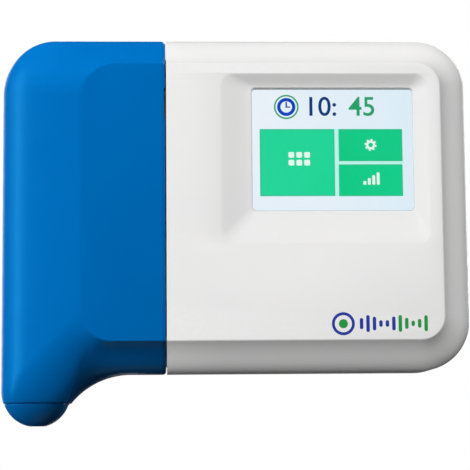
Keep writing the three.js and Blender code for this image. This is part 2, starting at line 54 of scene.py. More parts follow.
HOUSING_LOW, HOUSING_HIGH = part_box("front_housing")
COVER_LOW, COVER_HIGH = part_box("wiring_cover")
CAP_LOW, CAP_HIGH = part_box("cable_outlet_cap")
SIDE = HOUSING_HIGH.x
TOP = HOUSING_HIGH.z
DEPTH = -HOUSING_LOW.y
HOUSING_X = HOUSING_LOW.x        # left end of the front housing
COVER_X = COVER_HIGH.x           # right end of the wiring cover
FOOT_END = COVER_LOW.z           # lower end of the cover's foot
WALL = 2.2 * MM                  # moulded wall thickness

BEVEL = 11.15 * MM               # bevel round the raised face
DUCT_BEVEL = 31 * MM             # soft slope over the cable duct
CORNER_TL = 20 * MM
CORNER_TR = 18.6 * MM
CORNER_BR = 19 * MM
FACE_TL = 12.8 * MM
FACE_BL = 11.7 * MM
FACE_RIGHT = 9 * MM
FOOT_X = -76 * MM
FOOT_Z = -70 * MM
FOOT_RX = 13 * MM
FOOT_RZ = 13.8 * MM
FILLET_X = -40.2 * MM
FILLET_R = 29.5 * MM
CRISP_CREASE = 0.5 * MM          # rounding of the crease round the raised face
SOFT_CREASE = 1.2 * MM           # the same crease beside the duct

# The sunk frame round the screen and its window, as x0, x1, z0, z1.
RECESS = (-5.9 * MM, 73.4 * MM, -16.9 * MM, 48.7 * MM)
RECESS_CORNER = 5 * MM
RECESS_DEPTH = 2.3 * MM
WINDOW = (6.25 * MM, 67.65 * MM, -3.75 * MM, 43.5 * MM)
WINDOW_CORNER = 1.5 * MM
LENS_POCKET_Y = -29.5 * MM
PICTURE_Y = -28.05 * MM          # front of the lit picture

PLATE = 2.5 * MM                 # thickness of the rear housing's plate
HOUSING_SCREWS = ((-17, 56.5), (-17, -56.5), (79.5, 50), (79.5, -50))   # millimetres: x, z
BOARD_SCREWS = ((-31, 45.5), (-31, -45.5), (66, 45), (66, -45))
SHROUD_SCREWS = ((-40, 51.6), (-40, -51.6))
DISPLAY_SCREWS = ((-4.2, 44), (-4.2, -5), (76.6, 44), (76.6, -5))
WALL_SCREWS = ((-72, 46), (-72, -40))
KEYHOLE_X, KEYHOLE_Z, KEYHOLE_RISE = 27 * MM, 43 * MM, 8 * MM

WAYS = 6                         # ways in one terminal block
BLOCKS = 3
PITCH = 5 * MM                   # distance between ways
BLOCK_STEP = 30.6 * MM
SHROUD_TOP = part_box("terminal_shroud")[0].y
BOARD_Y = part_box("main_circuit_board")[0].y     # front face of the circuit board
LEG = 0.8 * MM                   # how far a chip's legs reach out

# The bevel as a curve from the rim to the crease: depth of the rim, of its shoulder and of the
# slope, and how far across the slope's handle lies.
CRISP_BEVEL = (20 * MM, 27.5 * MM, 27 * MM, 0.67)
DUCT_CURVE = (13 * MM, 26 * MM, 29.4 * MM, 0.45)

# ---------- mesh helpers ----------


def mm(*sizes):
    """Millimetres as metres."""
    return [size * MM for size in sizes]


def linked(name, data):
    """A new object in the scene."""
    piece = bpy.data.objects.new(name, data)
    bpy.context.scene.collection.objects.link(piece)
    return piece


def new_object(name, bm):
    """Makes an object of a bmesh and frees it."""
    mesh = bpy.data.meshes.new(name)
    bmesh.ops.recalc_face_normals(bm, faces=bm.faces)
    bm.to_mesh(mesh)
    bm.free()
    return linked(name, mesh)


def shade(piece, angle=28):
    """Smooth shading that breaks at edges sharper than an angle in degrees."""
    mesh = piece.data
    mesh.polygons.foreach_set("use_smooth", [True] * len(mesh.polygons))
    mesh.set_sharp_from_angle(angle=math.radians(angle))
    return piece


def settle(piece):
    """Applies the modifiers of a piece."""
    graph = bpy.context.evaluated_depsgraph_get()
    mesh = bpy.data.meshes.new_from_object(piece.evaluated_get(graph))
    piece.modifiers.clear()
    old = piece.data
    piece.data = mesh
    bpy.data.meshes.remove(old)
    return piece


def combine(piece, others, operation):
    """Joins other pieces to a piece or cuts it with them, and removes them."""
    for other in others:
        step = piece.modifiers.new("step", "BOOLEAN")
        step.operation = operation
        step.object = other
        step.solver = "MANIFOLD"
        settle(piece)
        bpy.data.objects.remove(other)
    return piece


def cut(piece, *others):
    return combine(piece, others, "DIFFERENCE")


def join(piece, *others):
    return combine(piece, others, "UNION")


def merged(pieces, name):
    """Gathers the meshes of several pieces that do not touch into one piece."""
    bm = bmesh.new()
    for piece in pieces:
        bm.from_mesh(piece.data)
        bpy.data.objects.remove(piece)
    return new_object(name, bm)


def rounded_edges(piece, width, segments=2, angle=35):
    """Rounds the sharp edges of a piece."""
    step = piece.modifiers.new("edges", "BEVEL")
    step.width = width
    step.segments = segments
    step.limit_method = "ANGLE"
    step.angle_limit = math.radians(angle)
    return settle(piece)


def posts_at(rows):
    """Round posts at each place of each row of places, radius and ends, in millimetres."""
    return [post(x * MM, z * MM, *mm(*sizes)) for places, *sizes in rows for x, z in places]


def moved_copy(piece, name, move):
    """A copy of a piece's mesh, moved."""
    mesh = piece.data.copy()
    mesh.transform(Matrix.Translation(move))
    return linked(name, mesh)


def box(x0, x1, y0, y1, z0, z1, name="box"):
    bm = bmesh.new()
    bmesh.ops.create_cube(bm, size=1)
    for vert in bm.verts:
        vert.co = Vector((
            x0 + (vert.co.x + 0.5) * (x1 - x0),
            y0 + (vert.co.y + 0.5) * (y1 - y0),
            z0 + (vert.co.z + 0.5) * (z1 - z0),
        ))
    return new_object(name, bm)


def post(x, z, radius, y0, y1, sides=40, name="post"):
    """A round post along Y."""
    bm = bmesh.new()
    place = Matrix.Translation((x, (y0 + y1) / 2, z)) @ Matrix.Rotation(QUARTER, 4, "X")
    bmesh.ops.create_cone(
        bm, cap_ends=True, segments=sides, radius1=radius, radius2=radius, depth=y1 - y0,
        matrix=place)
    return new_object(name, bm)


def skin(bm, rings):
    """Faces between closed rings of vertices, one after the other."""
    for ring, following in zip(rings, rings[1:]):
        for i in range(len(ring)):
            j = (i + 1) % len(ring)
            corners = []
            for vert in (ring[i], ring[j], following[j], following[i]):
                if vert not in corners:
                    corners.append(vert)
            if len(corners) > 2:
                bm.faces.new(corners)


def turned(profile, x, z, sides=40, name="turned"):
    """A closed profile of radius and y, turned about an axis along Y."""
    bm = bmesh.new()
    rings = []
    for radius, y in profile:
        if radius < 1e-7:
            rings.append([bm.verts.new((x, y, z))] * sides)
            continue
        ring = []
        for i in range(sides):
            angle = 2 * math.pi * i / sides
            ring.append(
                bm.verts.new((x + radius * math.cos(angle), y, z + radius * math.sin(angle))))
        rings.append(ring)
    skin(bm, rings)
    bmesh.ops.remove_doubles(bm, verts=bm.verts, dist=1e-7)
    return new_object(name, bm)


def lettering(text, size, x, y, z, depth, name, align="LEFT", weight=0.0):
    """Figures as a closed flat piece that stands out of a face towards -Y."""
    data = bpy.data.curves.new(name, "FONT")
    data.body = text
    data.size = size
    data.extrude = depth / 2
    data.offset = weight
    data.align_x = align
    data.align_y = "CENTER"
    data.resolution_u = 6
    letters = linked(name, data)
    bpy.context.view_layer.update()
    graph = bpy.context.evaluated_depsgraph_get()
    mesh = bpy.data.meshes.new_from_object(letters.evaluated_get(graph))
    bpy.data.objects.remove(letters)
    bm = bmesh.new()
    bm.from_mesh(mesh)
    bpy.data.meshes.remove(mesh)
    bmesh.ops.remove_doubles(bm, verts=bm.verts, dist=size * 1e-5)
    stand = Matrix.Translation((x, y - depth / 2, z)) @ Matrix.Rotation(QUARTER, 4, "X")
    bmesh.ops.transform(bm, matrix=stand, verts=bm.verts)
    return new_object(name, bm)


def rounded_rectangle(x0, x1, z0, z1, radius, steps=10):
    """Points of a rounded rectangle, from its lower right corner round to its lower left one."""
    points = []
    corners = ((x1, z0, -QUARTER), (x1, z1, 0), (x0, z1, QUARTER), (x0, z0, 2 * QUARTER))
    for x, z, start in corners:
        cx = x - radius if x == x1 else x + radius
        cz = z - radius if z == z1 else z + radius
        for i in range(steps + 1):
            angle = start + QUARTER * i / steps
            points.append(Vector((cx + radius * math.cos(angle), cz + radius * math.sin(angle))))
    return points


def slab(points, y0, y1, name="slab"):
    """A flat outline in X and Z, made y0 to y1 thick."""
    bm = bmesh.new()
    rings = [[bm.verts.new((p.x, y, p.y)) for p in points] for y in (y0, y1)]
    skin(bm, rings)
    bm.faces.new(rings[0])
    bm.faces.new(rings[1])
    return new_object(name, bm)


def ring_slab(x, z, outer, inner, y0, y1, name="ring", sides=48):
    """A flat ring."""
    return turned(
        ((inner, y0), (outer, y0), (outer, y1), (inner, y1), (inner, y0)), x, z, sides, name)


def slice_off(bm, at, normal):
    """Cuts away what lies beyond a plane and closes the cut."""
    parts = bm.verts[:] + bm.edges[:] + bm.faces[:]
    found = bmesh.ops.bisect_plane(
        bm, geom=parts, dist=1e-7, plane_co=at, plane_no=normal, clear_outer=True)
    edges = [e for e in found["geom_cut"] if isinstance(e, bmesh.types.BMEdge)]
    bmesh.ops.contextual_create(bm, geom=edges)


def round_rim(bm, at, normal, radius, steps=5):
    """Rounds the edge where the surface meets the flat end at a plane."""
    at, normal = Vector(at), Vector(normal)
    for i in range(1, steps + 1):
        back = radius * (1 - math.cos(QUARTER * i / steps))
        parts = bm.verts[:] + bm.edges[:] + bm.faces[:]
        bmesh.ops.bisect_plane(
            bm, geom=parts, dist=1e-7, plane_co=at - normal * back, plane_no=normal)
    bm.normal_update()
    moves = []
    for vert in bm.verts:
        gap = (at - vert.co).dot(normal)
        if gap > radius - 1e-7:
            continue
        outward = sum(
            (f.normal for f in vert.link_faces if abs(f.normal.dot(normal)) < 0.7), Vector())
        outward -= normal * outward.dot(normal)
        if outward.length < 1e-6:
            continue
        share = 1 - min(max(gap, 0) / radius, 1)
        moves.append((vert, outward.normalized() * radius * (1 - math.sqrt(1 - share * share))))
    for vert, move in moves:
        vert.co -= move


def outline_slab(inset, y0, y1):
    """The flat outline moved inwards, made y0 to y1 thick."""
    return slab(inset_edge(outline(), inset), y0, y1)


def tidy_faces(bm):
    big = [f for f in bm.faces if len(f.verts) > 4]
    bmesh.ops.triangulate(bm, faces=big)


# ---------- the outer form ----------


def straight(x0, z0, x1, z1):
    return lambda t: Vector((x0 + (x1 - x0) * t, z0 + (z1 - z0) * t))


def arc(cx, cz, rx, rz, start, end):
    def at(t):
        angle = start + (end - start) * t
        return Vector((cx + rx * math.cos(angle), cz + rz * math.sin(angle)))
    return at


def corner(x, z, radius, start, end):
    """A round arc."""
    return arc(x, z, radius, radius, start, end)


def outline():
    """Points round the outline: the outer edge, its match on the raised face, how far the bevel
    has turned from the crisp one (0) into the soft slope of the duct (1), and the same for its
    crease."""
    left, face_left = -SIDE, -SIDE + DUCT_BEVEL
    face_right, face_top = SIDE - BEVEL, TOP - BEVEL
    fillet_z = -TOP - FILLET_R
    fillet_end = math.pi - math.asin((FOOT_END - fillet_z) / FILLET_R)
    foot_end = 2 * math.pi - math.asin((FOOT_Z - FOOT_END) / FOOT_RZ)
    part = math.pi + QUARTER * 0.6
    face_bl = (face_left + FACE_BL, -face_top + FACE_BL, FACE_BL)
    stretches = (
        (straight(FILLET_X, -TOP, SIDE - CORNER_BR, -TOP),
         straight(face_left + FACE_BL, -face_top, face_right - FACE_RIGHT, -face_top), 3, 0, 0),
        (corner(SIDE - CORNER_BR, -TOP + CORNER_BR, CORNER_BR, -QUARTER, 0),
         corner(face_right - FACE_RIGHT, -face_top + FACE_RIGHT, FACE_RIGHT, -QUARTER, 0), 28, 0, 0),
        (straight(SIDE, -TOP + CORNER_BR, SIDE, TOP - CORNER_TR),
         straight(face_right, -face_top + FACE_RIGHT, face_right, face_top - FACE_RIGHT), 3, 0, 0),
        (corner(SIDE - CORNER_TR, TOP - CORNER_TR, CORNER_TR, 0, QUARTER),
         corner(face_right - FACE_RIGHT, face_top - FACE_RIGHT, FACE_RIGHT, 0, QUARTER), 28, 0, 0),
        (straight(SIDE - CORNER_TR, TOP, left + CORNER_TL, TOP),
         straight(face_right - FACE_RIGHT, face_top, face_left + FACE_TL, face_top), 3, 0, 0),
        (corner(left + CORNER_TL, TOP - CORNER_TL, CORNER_TL, QUARTER, math.pi),
         corner(face_left + FACE_TL, face_top - FACE_TL, FACE_TL, QUARTER, math.pi), 36, 0, 1),
        (straight(left, TOP - CORNER_TL, left, FOOT_Z),
         straight(face_left, face_top - FACE_TL, face_left, -face_top + FACE_BL), 12, 1, 1),
        (arc(FOOT_X, FOOT_Z, FOOT_RX, FOOT_RZ, math.pi, foot_end),
         corner(*face_bl, math.pi, part), 60, 1, 1, 1, 0),
        (corner(FILLET_X, fillet_z, FILLET_R, fillet_end, QUARTER),
         corner(*face_bl, part, 3 * QUARTER), 40, 1, 0, 0, 0),
    )
    points = []
    for edge, face, steps, duct_start, duct_end, *fold in stretches:
        fold_start, fold_end = fold or (duct_start, duct_end)
        for i in range(steps):
            t = i / steps
            ease = t * t * (3 - 2 * t)
            duct = duct_start + (duct_end - duct_start) * ease
            points.append((edge(t), face(t), duct, fold_start + (fold_end - fold_start) * ease))
    return points


def inset_edge(points, inset):
    """The outer edge moved inwards."""
    moved = []
    for i, (edge, *_) in enumerate(points):
        before = points[i - 1][0]
        after = points[(i + 1) % len(points)][0]
        ahead = (after - edge).normalized()
        tangent = ((edge - before).normalized() + ahead).normalized()
        stretch = 1 / max(tangent.dot(ahead), 0.7)
        moved.append(edge + Vector((-tangent.y, tangent.x)) * inset * stretch)
    return moved


def bevel_curve(edge, face, duct, fold, inset, face_depth, rows):
    """Points from the rim up the bevel, over the rounded crease and on to the raised face."""
    turns = (duct, duct, fold, fold)
    rim, shoulder, slope, across = (
        a + (b - a) * turn for a, b, turn in zip(CRISP_BEVEL, DUCT_CURVE, turns))
    crease = CRISP_CREASE + (SOFT_CREASE - CRISP_CREASE) * fold
    width = (face - edge).length
    inwards = (face - edge).normalized()

    def at(t):
        part = 3 * (1 - t) * t * t * across + t ** 3
        depth = (1 - t) ** 3 * rim + 3 * (1 - t) ** 2 * t * shoulder
        depth += 3 * (1 - t) * t * t * slope + t ** 3 * face_depth
        flat = edge + (face - edge) * part
        return Vector((flat.x, inset - depth, flat.y))

    handle = math.hypot((1 - across) * width, face_depth - slope)
    t_end = 1 - crease / (3 * handle)
    points = [at(t_end * i / rows) for i in range(rows + 1)]
    start = points[-1]
    corner = Vector((face.x, inset - face_depth, face.y))
    inner = face + inwards * crease
    end = Vector((inner.x, inset - face_depth, inner.y))
    turns = 5
    for i in range(1, turns + 1):
        t = i / turns
        points.append(start * (1 - t) ** 2 + corner * 2 * (1 - t) * t + end * t * t)
    return points


def form(inset=0.0, back=0.0, face_depth=DEPTH, rows=26, recess=False):
    """The closed outer form as a bmesh, from a flat back to the raised face."""
    bm = bmesh.new()
    points = outline()
    edges = inset_edge(points, inset)
    columns = []
    for (_, face, duct, fold), edge in zip(points, edges):
        curve = bevel_curve(edge, face, duct, fold, inset, face_depth, rows)
        column = [bm.verts.new((edge.x, back, edge.y))]
        columns.append(column + [bm.verts.new(p) for p in curve])
    count = len(columns)
    for i in range(count):
        a, b = columns[i], columns[(i + 1) % count]
        for low_a, low_b, high_b, high_a in zip(a, b, b[1:], a[1:]):
            bm.faces.new((low_a, low_b, high_b, high_a))
    bm.faces.new([column[0] for column in reversed(columns)])
    crest = [column[-1] for column in columns]
    if recess:
        sink_recess(bm, crest)
    else:
        bm.faces.new(crest)
    return bm


def sink_recess(bm, crest):
    """Fills the raised face round the sunk frame, and shapes the frame down to the window."""
    outer = rounded_rectangle(*RECESS, RECESS_CORNER)
    lip = 0.35 * MM
    x0, x1, z0, z1 = WINDOW
    floor = rounded_rectangle(x0 - lip, x1 + lip, z0 - lip, z1 + lip, WINDOW_CORNER + lip)
    inner = rounded_rectangle(*WINDOW, WINDOW_CORNER)
    level = -DEPTH
    floor_level = level + RECESS_DEPTH
    rows = 16
    rings = []
    for i in range(rows + 1):
        t = i / rows
        sink = 1 - (1 - t ** 1.15) ** 1.3
        rings.append([(o.lerp(f, t), level + RECESS_DEPTH * sink) for o, f in zip(outer, floor)])
    for i in range(1, 5):
        turn = QUARTER * i / 4
        t, drop = math.sin(turn), lip * (1 - math.cos(turn))
        rings.append([(f.lerp(n, t), floor_level + drop) for f, n in zip(floor, inner)])
    rings.append([(n, LENS_POCKET_Y + 0.1 * MM) for n in inner])
    rings = [[bm.verts.new((p.x, y, p.y)) for p, y in ring] for ring in rings]
    skin(bm, rings)
    bm.faces.new(rings[-1])
    loops = [[v.co for v in crest], [v.co for v in reversed(rings[0])]]
    verts = crest + list(reversed(rings[0]))
    for triangle in geometry.tessellate_polygon(loops):
        bm.faces.new([verts[i] for i in triangle])


def hollow(face_depth=DEPTH, inset=WALL):
    """The inside of the form, for hollowing a shell."""
    return new_object("hollow", form(inset, 5 * MM, face_depth, rows=14))


# ---------- materials ----------


def srgb(red, green, blue):
    """A colour given as 0 to 255 screen values, made linear."""
    def linear(value):
        value /= 255
        return value / 12.92 if value <= 0.04045 else ((value + 0.055) / 1.055) ** 2.4
    return (linear(red), linear(green), linear(blue), 1)


def material(name, specular=0.4, metallic=0.0):
    made = bpy.data.materials.new(name)
    made.use_nodes = True
    shader = made.node_tree.nodes["Principled BSDF"]
    fed(shader, Specular_IOR_Level=specular, Metallic=metallic)
    return made, made.node_tree, shader


def fed(node, **values):
    """Sets inputs of a node by name, with _ for a space."""
    for name, value in values.items():
        node.inputs[name.replace("_", " ")].default_value = value
    return node


def noise(tree, scale, detail=2.0, rough=0.5, seed=0.0, stretch=(1, 1, 1)):
    """A noise in the object's own space. Its scale is in cycles per metre."""
    where = tree.nodes.new("ShaderNodeTexCoord")
    place = tree.nodes.new("ShaderNodeMapping")
    fed(place, Location=(seed, seed * 1.7, seed * 0.6), Scale=stretch)
    made = fed(tree.nodes.new("ShaderNodeTexNoise"), Scale=scale, Detail=detail, Roughness=rough)
    tree.links.new(where.outputs["Object"], place.inputs["Vector"])
    tree.links.new(place.outputs["Vector"], made.inputs["Vector"])
    return made.outputs["Fac"]


def spread(tree, source, low, high, start=0.3, end=0.7):
    """Maps a source to a range of values."""
    made = tree.nodes.new("ShaderNodeMapRange")
    fed(made, From_Min=start, From_Max=end, To_Min=low, To_Max=high)
    tree.links.new(source, made.inputs["Value"])
    return made.outputs["Result"]


def clouded(tree, scale, detail, rough, seed, low=0, high=1):
    """A noise mapped to a range of values."""
    return spread(tree, noise(tree, scale, detail, rough, seed), low, high)


def blended(tree, factor, first, second):
    """Mixes two colours, given as values or as outputs of other nodes."""
    mix = tree.nodes.new("ShaderNodeMix")
    mix.data_type = "RGBA"
    ports = [port for port in mix.inputs if port.type == "RGBA"]
    for port, colour in zip(ports, (first, second)):
        if isinstance(colour, tuple):
            port.default_value = colour
        else:
            tree.links.new(colour, port)
    tree.links.new(factor, mix.inputs["Factor"])
    return [port for port in mix.outputs if port.type == "RGBA"][0]


def bumped(tree, shader, height, depth, strength=0.4):
    bump = fed(tree.nodes.new("ShaderNodeBump"), Strength=strength, Distance=depth)
    tree.links.new(height, bump.inputs["Height"])
    tree.links.new(bump.outputs["Normal"], shader.inputs["Normal"])


def edge_wear(tree, amount):
    """Brightest on worn edges, from how sharply the surface turns."""
    shape = tree.nodes.new("ShaderNodeNewGeometry")
    worn = spread(tree, shape.outputs["Pointiness"], 0, amount, 0.52, 0.62)
    patchy = clouded(tree, 700, 3, 0.6, 9.1, 0.2, 1)
    both = tree.nodes.new("ShaderNodeMath")
    both.operation = "MULTIPLY"
    tree.links.new(worn, both.inputs[0])
    tree.links.new(patchy, both.inputs[1])
    return both.outputs["Value"]


def moulded_plastic(name, colour, other, worn, rough=(0.36, 0.48), specular=0.4, scale=2400):
    """Moulded plastic: spark-eroded grain, a slow drift in colour and gloss, and paler edges."""
    made, tree, shader = material(name, specular)
    colour, other, worn = srgb(*colour), srgb(*other), srgb(*worn)
    drift = blended(tree, clouded(tree, 38, 3, 0.6, 0.3), colour, other)
    speckle = blended(tree, clouded(tree, 5200, 1, 0.5, 3.7, 0, 0.35), drift, other)
    final = blended(tree, edge_wear(tree, 0.35), speckle, worn)
    tree.links.new(final, shader.inputs["Base Color"])
    tree.links.new(clouded(tree, 240, 3, 0.6, 1.1, *rough), shader.inputs["Roughness"])
    bumped(tree, shader, noise(tree, scale, 2, 0.55, 2.3), 0.012 * MM)
    return made


def metal(name, colour, other, rough=(0.22, 0.4), stretch=(1, 1, 14), scale=900):
    """Plated steel or tin: fine drawn lines and cloudy patches."""
    made, tree, shader = material(name, 0.5, 1.0)
    colour, other = srgb(*colour), srgb(*other)
    cloudy = clouded(tree, 300, 3, 0.6, 1.4)
    tree.links.new(blended(tree, cloudy, colour, other), shader.inputs["Base Color"])
    lines = noise(tree, scale, 4, 0.7, 2.2, stretch)
    tree.links.new(spread(tree, lines, *rough), shader.inputs["Roughness"])
    bumped(tree, shader, lines, 0.01 * MM, 0.3)
    return made


def lit_colour(name, colour, other, toward=None):
    """A lit part of the picture on the display, with a slow drift between two colours, a fine
    grid of picture lines and, where given, a third colour towards the right."""
    made, tree, shader = material(name, 0.0)
    fed(shader, Base_Color=(0.004, 0.004, 0.004, 1), Roughness=0.6, Emission_Strength=1)
    shown = blended(tree, clouded(tree, 28, 1, 0.5, 4.2), srgb(*colour), srgb(*other))
    if toward:
        where = tree.nodes.new("ShaderNodeTexCoord")
        axes = tree.nodes.new("ShaderNodeSeparateXYZ")
        tree.links.new(where.outputs["Object"], axes.inputs["Vector"])
        across = spread(tree, axes.outputs["X"], 0, 1, WINDOW[0], WINDOW[1])
        shown = blended(tree, across, shown, srgb(*toward))
    grid = fed(tree.nodes.new("ShaderNodeTexWave"), Scale=900)
    grid.bands_direction = "Z"
    place = tree.nodes.new("ShaderNodeTexCoord")
    tree.links.new(place.outputs["Object"], grid.inputs["Vector"])
    lines = spread(tree, grid.outputs["Fac"], 0, 0.06, 0, 1)
    shown = blended(tree, lines, shown, (0, 0, 0, 1))
    tree.links.new(shown, shader.inputs["Emission Color"])
    return made


def clear_lens():
    """Hard clear sheet with the faint smears of fingers."""
    made, tree, shader = material("clear_lens", 0.5)
    smear = noise(tree, 90, 4, 0.6, 5.5, (1, 1, 0.5))
    tint = blended(tree, spread(tree, smear, 0, 1), (1, 1, 1, 1), (0.975, 0.985, 0.99, 1))
    tree.links.new(tint, shader.inputs["Base Color"])
    fed(shader, Transmission_Weight=1, IOR=1.25)
    tree.links.new(spread(tree, smear, 0.03, 0.09), shader.inputs["Roughness"])
    return made


def circuit_board():
    """Green solder mask over copper tracks that run square to each other, with tinned dots."""
    made, tree, shader = material("circuit_board", 0.5)
    where = tree.nodes.new("ShaderNodeTexCoord")
    bricks = tree.nodes.new("ShaderNodeTexBrick")
    bricks.offset = 0.37
    fed(bricks, Scale=160, Brick_Width=1.9, Row_Height=0.16, Mortar_Size=0.03, Mortar_Smooth=0.3)
    turn = fed(tree.nodes.new("ShaderNodeMapping"), Rotation=(QUARTER, 0, 0))
    tree.links.new(where.outputs["Object"], turn.inputs["Vector"])
    tree.links.new(turn.outputs["Vector"], bricks.inputs["Vector"])
    mask = blended(tree, clouded(tree, 60, 3, 0.6, 0.8), srgb(24, 92, 48), srgb(30, 104, 56))
    tracks = blended(tree, bricks.outputs["Fac"], mask, srgb(58, 140, 84))
    dots = fed(tree.nodes.new("ShaderNodeTexVoronoi"), Scale=260)
    tree.links.new(where.outputs["Object"], dots.inputs["Vector"])
    pads = spread(tree, dots.outputs["Distance"], 1, 0, 0.10, 0.13)
    tree.links.new(blended(tree, pads, tracks, srgb(196, 198, 196)), shader.inputs["Base Color"])
    tree.links.new(clouded(tree, 400, 2, 0.5, 1.9, 0.25, 0.4), shader.inputs["Roughness"])
    bumped(tree, shader, bricks.outputs["Fac"], 0.03 * MM, 0.6)
    return made


def fibrous(name, colour, other, rough=(0.7, 0.9), scale=900, depth=0.02 * MM):
    """Paper or foam: a mottled matt surface."""
    made, tree, shader = material(name, 0.25)
    colour, other = srgb(*colour), srgb(*other)
    mottle = noise(tree, scale, 4, 0.65, 3.3)
    tree.links.new(
        blended(tree, spread(tree, mottle, 0, 1), colour, other), shader.inputs["Base Color"])
    tree.links.new(clouded(tree, 200, 2, 0.5, 2.7, *rough), shader.inputs["Roughness"])
    bumped(tree, shader, mottle, depth, 0.5)
    return made


WHITE = moulded_plastic("housing_white", (231, 230, 229), (228, 228, 228), (240, 240, 240))
PALE = moulded_plastic("shroud_pale", (214, 215, 216), (206, 208, 210), (228, 228, 228))
GREY = moulded_plastic("terminal_grey", (104, 108, 112), (94, 98, 103), (140, 143, 146), scale=3000)
ORANGE = moulded_plastic("lever_orange", (226, 104, 28), (214, 94, 22), (240, 150, 90), scale=3000)
CHIP = moulded_plastic("chip_black", (32, 32, 34), (24, 24, 27), (62, 62, 64), scale=3600)
CREAM = moulded_plastic("connector_cream", (226, 218, 198), (218, 209, 188), (238, 233, 220))
FUSE = moulded_plastic("fuse_amber", (206, 138, 42), (190, 122, 34), (226, 176, 100), (0.2, 0.35))
CAN = moulded_plastic("can_dark", (38, 42, 58), (32, 35, 50), (90, 94, 106), (0.2, 0.35))
STEEL = metal("screw_steel", (176, 178, 180), (152, 155, 160))
PLATED = metal("display_steel", (190, 192, 194), (170, 173, 178), (0.3, 0.5))
TIN = metal("shield_tin", (206, 206, 204), (188, 188, 188), (0.25, 0.45), (1, 1, 1))
PAPER = fibrous("label_paper", (244, 244, 240), (234, 234, 229))
FOAM = fibrous("foam_black", (42, 42, 44), (24, 24, 26), (0.85, 0.98), 1600, 0.1 * MM)
RIBBON = fibrous("ribbon_amber", (176, 112, 40), (150, 90, 28), (0.25, 0.4), 300, 0.005 * MM)
BOARD = circuit_board()
LENS = clear_lens()
INK_BLUE = fibrous("print_blue", (4, 46, 158), (2, 40, 148), (0.45, 0.6), 2500, 0.003 * MM)
INK_GREEN = fibrous("print_green", (8, 150, 62), (4, 142, 56), (0.45, 0.6), 2500, 0.003 * MM)
INK_BLACK = fibrous("print_black", (40, 42, 46), (30, 32, 36), (0.5, 0.7), 2500, 0.003 * MM)
BLUE = moulded_plastic(
    "cover_blue", (0, 111, 186), (0, 108, 182), (10, 124, 200), (0.31, 0.38), 0.35)
fed(BLUE.node_tree.nodes["Principled BSDF"], Specular_Tint=(0.02, 0.55, 1, 1))


def paint(piece, finish):
    piece.data.materials.clear()
    piece.data.materials.append(finish)
    return piece


def place(piece, body, slot, finish, *nodes):
    """Gives a piece its finish, the body it rides on and the nodes it stands for."""
    paint(piece, finish)
    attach(piece, body)
    if nodes:
        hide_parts(*nodes)
    return piece


def fixed(piece, finish, slot=None, *nodes):
    """Places a piece on the case."""
    return place(piece, "case", slot, finish, *nodes)


# ---------- shells ----------


def front_housing_shell(inlays):
    bm = form(recess=True)
    slice_off(bm, (0, HOUSING_HIGH.y, 0), (0, 1, 0))
    slice_off(bm, (HOUSING_X, 0, 0), (-1, 0, 0))
    round_rim(bm, (HOUSING_X, 0, 0), (-1, 0, 0), 0.25 * MM, 3)
    round_rim(bm, (0, HOUSING_HIGH.y, 0), (0, 1, 0), 0.3 * MM, 3)
    tidy_faces(bm)
    shell = new_object("front_housing_shell", bm)
    inside = hollow(27.4 * MM + WALL)
    inside = cut(inside, box(-1, HOUSING_X + 2 * MM, -1, 1, -1, 1))
    pocket = box(2.9 * MM, 71 * MM, LENS_POCKET_Y, *mm(-26, -7.2, 47))
    notch = box(-40 * MM, HOUSING_X + 3 * MM, SHROUD_TOP - 0.3 * MM, *mm(5, -57, 57))
    posts = merged(posts_at([(HOUSING_SCREWS, 3.2, -28.5, -6.9)]), "posts")
    combine(posts, [hollow(inset=1 * MM)], "INTERSECT")
    holes = posts_at([(HOUSING_SCREWS, 1.6, -20, -6)])
    cut(shell, inside, pocket, notch, *inlays)
    join(shell, posts)
    cut(shell, *holes)
    return fixed(shade(shell), WHITE, "housing_white", "front_housing")


def wiring_cover_shell():
    bm = form()
    slice_off(bm, (0, COVER_HIGH.y, 0), (0, 1, 0))
    slice_off(bm, (COVER_X, 0, 0), (1, 0, 0))
    slice_off(bm, (0, 0, FOOT_END), (0, 0, -1))
    round_rim(bm, (COVER_X, 0, 0), (1, 0, 0), 1.5 * MM, 7)
    round_rim(bm, (0, 0, FOOT_END), (0, 0, -1), 0.4 * MM, 4)
    tidy_faces(bm)
    shell = new_object("wiring_cover_shell", bm)
    relief = box(COVER_X - 0.5 * MM, 1, -1, -DEPTH + 4 * MM, 32 * MM, 43 * MM)
    cut(shell, hollow(), relief)
    hooks = [
        box(-64 * MM, COVER_X - 4 * MM, -1.1 * MM, -0.5 * MM, TOP - 4 * MM, TOP - 1.5 * MM),
        box(-41 * MM, COVER_X - 4 * MM, -1.1 * MM, -0.5 * MM, -TOP + 1.5 * MM, -TOP + 4 * MM),
    ]
    join(shell, *hooks)
    return place(shade(shell), "cover", "cover_blue", BLUE, "wiring_cover")


def foot_post(inset, z0, z1):
    """A straight post with the form's section at the end of the foot, taken in by an inset."""
    thin = 0.1 * MM
    bm = form(inset, rows=14)
    slice_off(bm, (0, CAP_HIGH.y, 0), (0, 1, 0))
    slice_off(bm, (0, 0, FOOT_END + thin), (0, 0, 1))
    slice_off(bm, (0, 0, FOOT_END), (0, 0, -1))
    tidy_faces(bm)
    for vert in bm.verts:
        vert.co.z = z0 + (vert.co.z - FOOT_END) * (z1 - z0) / thin
    return new_object("foot_post", bm)


